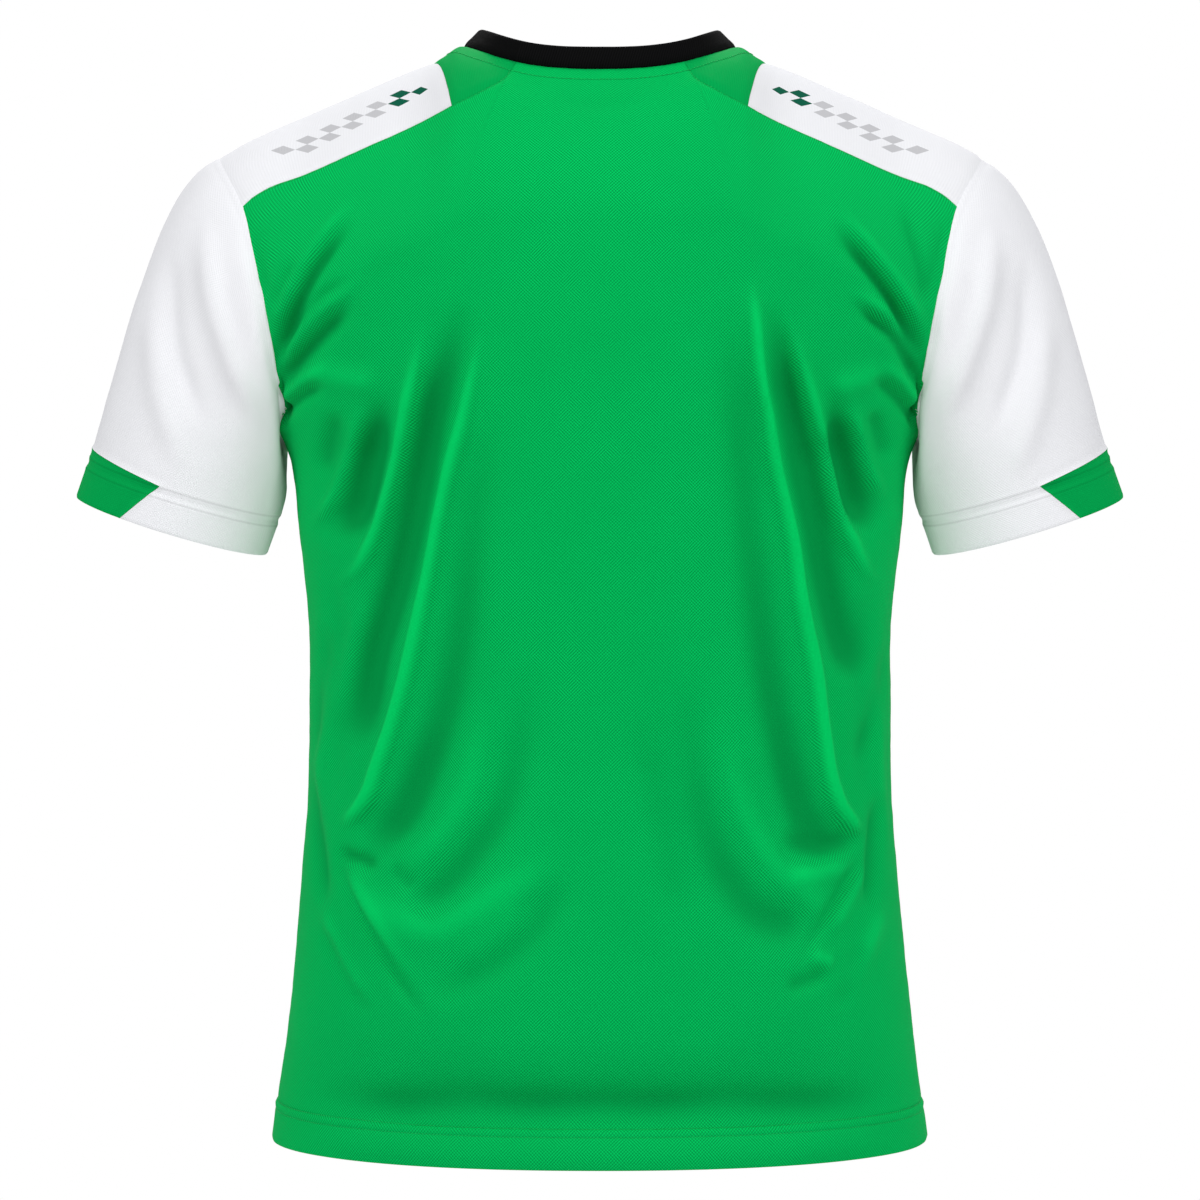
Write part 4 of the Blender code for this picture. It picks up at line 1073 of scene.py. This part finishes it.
def row_path(cloth, normals, patch, edge, distance, chosen=None):
    """Points and outward directions along a row of stitches at a distance from an edge of a patch."""
    points, out = cloth.grid_of(patch, cloth.points), cloth.grid_of(patch, normals)
    above_hem, below_neck = np.moveaxis(cloth.patches[patch].to_rows, -1, 0)
    if edge == "hem":
        away = above_hem
    elif patch.startswith("strip"):      # its columns run away from the neck
        points, out, away = points.swapaxes(0, 1), out.swapaxes(0, 1), below_neck.T
    else:                                # the neck and the seams are at the top
        points, out = points[::-1], out[::-1]
        away = below_neck[::-1] if edge == "neck" else lengths_along(points)
    column = np.arange(points.shape[1]) if chosen is None else np.asarray(chosen)
    row = np.clip((away[:, column] <= distance).sum(axis=0) - 1, 0, len(away) - 2)
    low, high = away[row, column], away[row + 1, column]
    share = ((distance - low) / (high - low))[:, None]

    def between_rows(values):
        return values[row, column] * (1 - share) + values[row + 1, column] * share

    return between_rows(points), between_rows(out)


def stitch_shape():
    """One stitch lying along X: points and faces."""
    turns = np.arange(STITCH_SIDES) * 2 * math.pi / STITCH_SIDES
    points = []
    for along, size, lift, _ in STITCH_RINGS:
        for turn in turns:
            points.append((
                along * 0.5 * STITCH_LENGTH,
                math.cos(turn) * size * THREAD_RADIUS,
                (math.sin(turn) * size + lift) * THREAD_RADIUS,
            ))
    faces = []
    for ring in range(len(STITCH_RINGS) - 1):
        for k in range(STITCH_SIDES):
            a, b = ring * STITCH_SIDES + k, ring * STITCH_SIDES + (k + 1) % STITCH_SIDES
            faces.append((a, a + STITCH_SIDES, b + STITCH_SIDES, b))
    faces.append(tuple(range(STITCH_SIDES)))
    last = (len(STITCH_RINGS) - 1) * STITCH_SIDES
    faces.append(tuple(last + k for k in reversed(range(STITCH_SIDES))))
    return np.array(points), faces


def add_stitches(name, paths):
    """A mesh of single stitches that lie on the cloth along the given paths."""
    shape, faces = stitch_shape()
    points, all_faces = [], []
    for path, out in paths:
        lengths = lengths_along(path)
        count = max(int(lengths[-1] / STITCH_PITCH), 1)
        middle = (np.arange(count) + 0.5) * lengths[-1] / count
        half = 0.5 * STITCH_LENGTH
        normal = read_along(out, lengths, middle)
        normal /= np.linalg.norm(normal, axis=1)[:, None]
        along = read_along(path, lengths, middle + half) - read_along(path, lengths, middle - half)
        along -= normal * (along * normal).sum(axis=1)[:, None]
        along /= np.linalg.norm(along, axis=1)[:, None]
        across = np.cross(normal, along)
        centre = read_along(path, lengths, middle) + normal * (0.5 * CLOTH + STITCH_LIFT)
        for k in range(count):
            start = len(points) * len(shape)
            points.append(centre[k] + shape @ np.array((along[k], across[k], normal[k])))
            all_faces += [tuple(i + start for i in face) for face in faces]
    mesh = bpy.data.meshes.new(name)
    mesh.from_pydata(np.vstack(points), [], all_faces)
    # painted shade at both ends of each stitch, where it dives into its hole
    hole_shade = np.repeat([ring[3] for ring in STITCH_RINGS], STITCH_SIDES)
    mesh.attributes.new("hole_shade", "FLOAT", "POINT").data.foreach_set("value", np.tile(hole_shade, len(points)))
    mesh.shade_smooth()
    return add_object(name, mesh)


def stitch_rows(cloth, normals):
    """The rows of stitches of each piece, as paths."""
    rows = {}

    def add(piece, *where, chosen=None):
        if chosen is None or len(chosen) > 1:
            rows.setdefault(piece, []).append(row_path(cloth, normals, *where, chosen=chosen))

    corner = INSERT_COLUMNS + SHOULDER_COLUMNS
    columns = cloth.index["back"].shape[1]
    for patch, piece in (("back", "back_panel"), ("front", "front_panel")):
        for height in (HEM_LOWER, HEM_UPPER):
            add(piece, patch, "hem", height)
        add(piece, patch, "neck", NECK_ROW, chosen=range(corner, columns - corner))
        add(piece, patch, "seam", YOKE_ROW, chosen=range(2, corner - 1))
        add(piece, patch, "seam", YOKE_ROW, chosen=range(columns - corner + 1, columns - 2))
    for hand in ("right", "left"):
        add(f"shoulder_insert_{hand}", f"strip_{hand}", "neck", NECK_ROW)
        patch = f"sleeve_{hand}"
        columns = cloth.index[patch].shape[1]
        wedge = np.flatnonzero(np.abs(sleeve_turns()) <= WEDGE_TOP + 1e-6)
        for height in (HEM_LOWER, HEM_UPPER):
            add(f"cuff_insert_{hand}", patch, "hem", height, chosen=range(wedge[0], wedge[-1] + 1))
            add(f"sleeve_{hand}", patch, "hem", height, chosen=range(0, wedge[0] + 1))
            add(f"sleeve_{hand}", patch, "hem", height, chosen=range(wedge[-1], columns))
        add(f"sleeve_{hand}", patch, "seam", ARMHOLE_ROW)
    return rows


# ------------------------------------------------------------------ materials

class Shader:
    """A Principled material that is put together from a few nodes."""

    def __init__(self, name, roughness, specular, sheen, sheen_tint):
        self.material = bpy.data.materials.new(name)
        self.material.use_nodes = True
        self.nodes, self.links = self.material.node_tree.nodes, self.material.node_tree.links
        self.principled = self.nodes["Principled BSDF"].inputs
        self.principled["Roughness"].default_value = roughness
        self.principled["Specular IOR Level"].default_value = specular
        self.principled["Sheen Weight"].default_value = sheen
        self.principled["Sheen Roughness"].default_value = 0.45
        self.principled["Sheen Tint"].default_value = (*sheen_tint, 1.0)

    def put(self, socket, value):
        if isinstance(value, bpy.types.NodeSocket):
            self.links.new(value, socket)
        elif value is not None:
            socket.default_value = value

    def node(self, kind, *values, **settings):
        """A new node with its settings, and its first sockets filled with the values."""
        node = self.nodes.new("ShaderNode" + kind)
        for name, value in settings.items():
            setattr(node, name, value)
        for socket, value in zip(node.inputs, values):
            self.put(socket, value)
        return node

    def math(self, operation, *values):
        return self.node("Math", *values, operation=operation).outputs[0]

    def ramp(self, value, low, high, to_low=0.0, to_high=1.0):
        """Maps value from low..high to to_low..to_high with soft ends."""
        numbers = (value, low, high, to_low, to_high)
        return self.node("MapRange", *numbers, interpolation_type="SMOOTHSTEP").outputs["Result"]

    def mix(self, factor, first, second):
        node = self.node("Mix", factor, data_type="RGBA")
        for socket, colour in ((node.inputs[6], first), (node.inputs[7], second)):
            self.put(socket, (*colour, 1.0) if isinstance(colour, tuple) else colour)
        return node.outputs[2]

    def noise(self, vector, scale, detail=2.0):
        node = self.node("TexNoise", vector)
        node.inputs["Scale"].default_value = scale
        node.inputs["Detail"].default_value = detail
        return node.outputs[0]

    def place(self):
        """The place in space, in metres."""
        return self.node("TexCoord").outputs["Object"]

    def flat(self, layout="flat"):
        """A layout of the piece in metres: the whole vector and its two numbers."""
        whole = self.node("UVMap", uv_map=layout).outputs[0]
        parts = self.node("SeparateXYZ", whole)
        return whole, parts.outputs[0], parts.outputs[1]

    def attribute(self, name):
        return self.node("Attribute", attribute_name=name).outputs["Fac"]

    def bump(self, height, distance, strength, under=None):
        node = self.node("Bump")
        given = {"Distance": distance, "Strength": strength, "Height": height, "Normal": under}
        for name, value in given.items():
            self.put(node.inputs[name], value)
        return node.outputs[0]

    def finish(self, colour, normal):
        self.put(self.principled["Base Color"], colour)
        self.put(self.principled["Normal"], normal)
        return self.material


def shaded(colour, share):
    return tuple(min(channel * share, 1.0) for channel in colour)


def birdseye(shader, vector, across, up):
    """Height of the fine knit, about -1 to 1: two sets of diagonal rows of loops, in patches where one
    or the other is clearer."""
    lean = shader.math("MULTIPLY_ADD", shader.noise(vector, KNIT_PATCHES), 1.6, -0.3)
    height = shader.math("MULTIPLY", shader.noise(vector, KNIT_FUZZ), 0.3)
    for operation, share in (("ADD", lean), ("SUBTRACT", shader.math("SUBTRACT", 1.0, lean))):
        diagonal = shader.math(operation, across, up)
        wave = shader.math("SINE", shader.math("MULTIPLY", diagonal, 2 * math.pi / KNIT_PITCH))
        height = shader.math("MULTIPLY_ADD", wave, share, height)
    return height


def row_distance(shader):
    """Distance to the nearest row of stitches along a hem or the neck."""
    _, above_hem, below_neck = shader.flat("rows")
    nearest = None
    for value, row in ((above_hem, HEM_LOWER), (above_hem, HEM_UPPER), (below_neck, NECK_ROW)):
        away = shader.math("ABSOLUTE", shader.math("SUBTRACT", value, row))
        nearest = away if nearest is None else shader.math("MINIMUM", nearest, away)
    return nearest


def knit_material(name, colour, contrast, trough, ridge, sheen_tint, trim=False):
    """Fine polyester knit: diagonal loops, a slight unevenness, painted shade and painted highlight in its
    folds, and the dent along each row of stitches.

    contrast is that of the loops; trough and ridge are the colour's shares in the deepest and highest folds:
    painted shade in the troughs and a painted highlight on the ridges.
    """
    shader = Shader(name, roughness=0.66, specular=0.018, sheen=0.015, sheen_tint=sheen_tint)
    vector, across, up = shader.flat()
    height = birdseye(shader, vector, across, up)
    dark, light = shaded(colour, 1 - contrast), shaded(colour, 1 + contrast)
    base = shader.mix(shader.ramp(height, -0.85, 1.15), dark, light)
    cloudy = shader.ramp(shader.noise(vector, 9.0), 0.35, 0.65, 0.0, 0.25)
    base = shader.mix(cloudy, base, shaded(colour, 1 - 0.3 * contrast))
    if trim:
        base = chequer(shader, base, across, up)
    # painted shade: the colour darkens with a fold's depth; painted highlight: it lightens with a fold's
    # height
    crease = shader.attribute("crease")
    base = shader.mix(shader.ramp(crease, 0.0, -1.0), base, shaded(colour, trough))
    base = shader.mix(shader.ramp(crease, 0.0, 0.8), base, shaded(colour, ridge))
    to_row = row_distance(shader)
    # painted shade along each row of stitches, in its dent
    base = shader.mix(shader.ramp(to_row, 0.0002, 0.0008, 0.25, 0.0), base, shaded(colour, 0.40))
    normal = shader.bump(shader.ramp(to_row, 0.0, 0.0014), distance=0.0004, strength=0.5)
    normal = shader.bump(height, distance=0.00010, strength=0.45, under=normal)
    return shader.finish(base, normal)


def chequer(shader, base, across, up):
    """Paints a plain two-row chequer on the back half of the shoulder strip."""
    down = shader.math("MULTIPLY", up, -1.0)
    cells = [
        shader.math("FLOOR", shader.math("DIVIDE", shader.math("SUBTRACT", value, start), CHECK))
        for value, start in ((across, CHECK_FROM), (down, CHECK_LOW))
    ]
    inside = shader.math("MODULO", shader.math("ADD", shader.math("ADD", *cells), KEEP_POSITIVE), 2.0)
    for value, low, high in ((across, CHECK_FROM, CHECK_TO), (down, CHECK_LOW, CHECK_HIGH)):
        inside = shader.math("MULTIPLY", inside, shader.math("GREATER_THAN", value, low))
        inside = shader.math("MULTIPLY", inside, shader.math("LESS_THAN", value, high))
    ink = shader.mix(shader.math("LESS_THAN", across, CHECK_DARK_TO), GREY, DARK_GREEN)
    return shader.mix(inside, base, ink)


def rib_material():
    """Black doubled rib of the collar band."""
    shader = Shader("black_rib", roughness=0.80, specular=0.035, sheen=0.01, sheen_tint=(0.5, 0.5, 0.5))
    vector, across, _ = shader.flat()
    ribs = shader.math("SINE", shader.math("MULTIPLY", across, 2 * math.pi / RIB_PITCH))
    height = shader.math("MULTIPLY_ADD", shader.noise(vector, 900.0), 0.6, ribs)
    base = shader.mix(shader.ramp(height, -0.6, 1.2), shaded(BLACK, 0.7), shaded(BLACK, 1.5))
    return shader.finish(base, shader.bump(height, distance=0.00020, strength=0.6))


def thread_material(name, colour):
    """Slightly glossy twisted sewing thread, with painted shade at its ends where it dives into its hole."""
    shader = Shader(name, roughness=0.50, specular=0.20, sheen=0.10, sheen_tint=colour)
    twist = shader.noise(shader.place(), 2600.0, 0.0)
    base = shader.mix(shader.ramp(twist, 0.35, 0.65), shaded(colour, 0.85), colour)
    # painted shade at the stitch's ends
    base = shader.mix(shader.attribute("hole_shade"), base, shaded(colour, 0.30))
    return shader.finish(base, shader.bump(twist, distance=0.00008, strength=0.5))


# ------------------------------------------------------------------ the jersey

# piece, or pair of pieces: record's slot, cut size (across, up) and flat area of each, in metres
SHEETS = {
    "back_panel": ("green_knit", (0.561, 0.739), 0.358),
    "front_panel": ("green_knit", (0.577, 0.724), 0.342),
    "shoulder_panel": ("white_knit", (0.180, 0.153), 0.021),
    "shoulder_insert": ("green_knit", (0.062, 0.157), 0.005),
    "sleeve": ("white_knit", (0.494, 0.247), 0.062),
    "cuff_insert": ("green_knit", (0.162, 0.035), 0.0049),
    "collar": ("black_band", (0.568, 0.0164), 0.0091),
}
SINGLE_PIECES = ("back_panel", "front_panel", "collar")

GREEN_SHEEN, WHITE_SHEEN = (0.10, 0.90, 0.40), (1.0, 1.0, 1.0)
# a knit: colour, contrast of the loops, share of the colour in the deepest folds (painted shade) and on the
# highest (painted highlight), tint of the sheen
WHITE_KNIT = (WHITE, 0.03, 0.88, 1.05, WHITE_SHEEN)


def cloth_materials():
    """The material of each slot, and of each kind of piece that has one of its own."""
    insert = knit_material("green_insert", shaded(GREEN, 0.78), 0.06, 0.66, 1.20, GREEN_SHEEN)
    return {
        "green_knit": knit_material("green_knit", GREEN, 0.42, 0.65, 1.38, GREEN_SHEEN),
        "white_knit": knit_material("white_knit", *WHITE_KNIT),
        "black_band": rib_material(),
        "shoulder_panel": knit_material("white_knit_chequer", *WHITE_KNIT, trim=True),
        "shoulder_insert": insert,
        "cuff_insert": insert,
    }


def build_jersey():
    cloth = Cloth(jersey_patches())
    add_folds(cloth)
    add_seams(cloth)
    normals, seam = cloth.normals(), cloth.seams()
    rows = stitch_rows(cloth, normals)
    cloths = cloth_materials()
    threads = {
        # the green thread is the cloth's green made lighter: painted light that offsets the shade the thin
        # thread lies in
        "green_knit": thread_material("green_thread", shaded(GREEN, 1.25)),
        "white_knit": thread_material("white_thread", WHITE),
    }
    for kind, (slot, size, area) in SHEETS.items():
        for name in (kind,) if kind in SINGLE_PIECES else (kind + "_left", kind + "_right"):
            piece = add_shell(cloth, normals, seam, name)
            piece.data.materials.append(cloths.get(kind, cloths[slot]))
            if name in rows:
                stitches = add_stitches("stitches_" + name, rows[name])
                stitches.data.materials.append(threads[slot])
                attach(stitches, "root")
            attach(piece, "root")
            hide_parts(name)


# ------------------------------------------------------------------ stage, light and camera

FLOOR_Z, FLOOR_RADIUS, FLOOR_SIDES = -1.45, 3, 64
AMBIENT = 0.54              # strength of the surround as light on the jersey
BACKDROP = 1.00             # and as the camera sees it

# name, place, aim, size, power in watts; each fill lights the white pieces of one side alone
LIGHTS = (
    ("left_box", (-1.85, -1.35, 1.30), (0.0, 0.0, -0.25), (1.0, 1.3), 28.0),
    ("right_box", (1.85, -1.35, 1.30), (0.0, 0.0, -0.25), (1.0, 1.3), 28.0),
    ("back_box", (0.0, -2.2, 1.2), (0.0, 0.0, -0.25), (1.6, 0.9), 8.0),
    ("fill_left", (1.0, -1.9, -0.8), (0.0, 0.0, -0.2), (0.8, 0.8), 16.0),
    ("fill_right", (-1.0, -1.9, -0.8), (0.0, 0.0, -0.2), (0.8, 0.8), 16.0),
    ("front_key", (0.0, 2.0, 2.1), (0.0, 0.0, -0.35), (1.2, 0.8), 40.0),
)


def build_stage():
    """A pale floor where a wearer would stand."""
    mesh = bpy.data.meshes.new("floor")
    turns = np.arange(FLOOR_SIDES) * 2 * math.pi / FLOOR_SIDES
    rim = [(FLOOR_RADIUS * math.cos(t), FLOOR_RADIUS * math.sin(t), FLOOR_Z) for t in turns]
    mesh.from_pydata(rim, [], [tuple(range(FLOOR_SIDES))])
    floor = add_object("floor", mesh)
    shader = Shader("pale_floor", roughness=0.8, specular=0.1, sheen=0.0, sheen_tint=(1, 1, 1))
    cloudy = shader.noise(shader.place(), 2.0)
    mesh.materials.append(shader.finish(shader.mix(cloudy, (0.74, 0.74, 0.74), (0.78, 0.78, 0.78)), None))


def add_light(name, place, aim, size, power):
    light = bpy.data.lights.new(name, "AREA")
    light.shape = "RECTANGLE"
    light.size, light.size_y = size
    light.energy = power
    lamp = bpy.data.objects.new(name, light)
    bpy.context.scene.collection.objects.link(lamp)
    lamp.location = place
    lamp.rotation_euler = (Vector(aim) - Vector(place)).to_track_quat("-Z", "Y").to_euler()
    return lamp


def light_white_alone(lamp, hand):
    """Lets a light reach only the sleeve and the shoulder panel of one side."""
    lit = bpy.data.collections.new(f"lit_{hand}")
    for piece in ("sleeve", "shoulder_panel"):
        lit.objects.link(bpy.data.objects[f"{piece}_{hand}_cloth"])
    lamp.light_linking.receiver_collection = lit


def build_light():
    world = bpy.data.worlds.new("studio")
    bpy.context.scene.world = world
    world.use_nodes = True
    nodes, links = world.node_tree.nodes, world.node_tree.links
    path = nodes.new("ShaderNodeLightPath")
    strength = nodes.new("ShaderNodeMapRange")
    strength.inputs["To Min"].default_value = AMBIENT
    strength.inputs["To Max"].default_value = BACKDROP
    links.new(path.outputs["Is Camera Ray"], strength.inputs["Value"])
    nodes["Background"].inputs["Color"].default_value = (1.0, 1.0, 1.0, 1.0)
    links.new(strength.outputs["Result"], nodes["Background"].inputs["Strength"])
    for name, *settings in LIGHTS:
        lamp = add_light(name, *settings)
        if name.startswith("fill_"):
            light_white_alone(lamp, name.removeprefix("fill_"))


def build_camera():
    camera = bpy.data.objects.new("camera", bpy.data.cameras.new("camera"))
    camera.data.sensor_width = 36.0
    camera.data.lens = 112.8
    camera.location = (0.0, -2.5, -0.3584)
    camera.rotation_euler = (math.radians(90.0), 0.0, 0.0)
    bpy.context.scene.collection.objects.link(camera)
    bpy.context.scene.camera = camera
    bpy.context.scene.view_settings.view_transform = "Standard"


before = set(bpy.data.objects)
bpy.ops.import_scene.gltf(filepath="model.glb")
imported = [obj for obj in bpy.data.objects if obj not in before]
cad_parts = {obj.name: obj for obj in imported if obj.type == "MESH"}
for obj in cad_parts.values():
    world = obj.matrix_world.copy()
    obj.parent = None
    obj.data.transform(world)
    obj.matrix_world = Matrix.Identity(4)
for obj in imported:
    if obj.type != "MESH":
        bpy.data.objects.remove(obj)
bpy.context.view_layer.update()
build_camera()
build_jersey()
build_stage()
build_light()
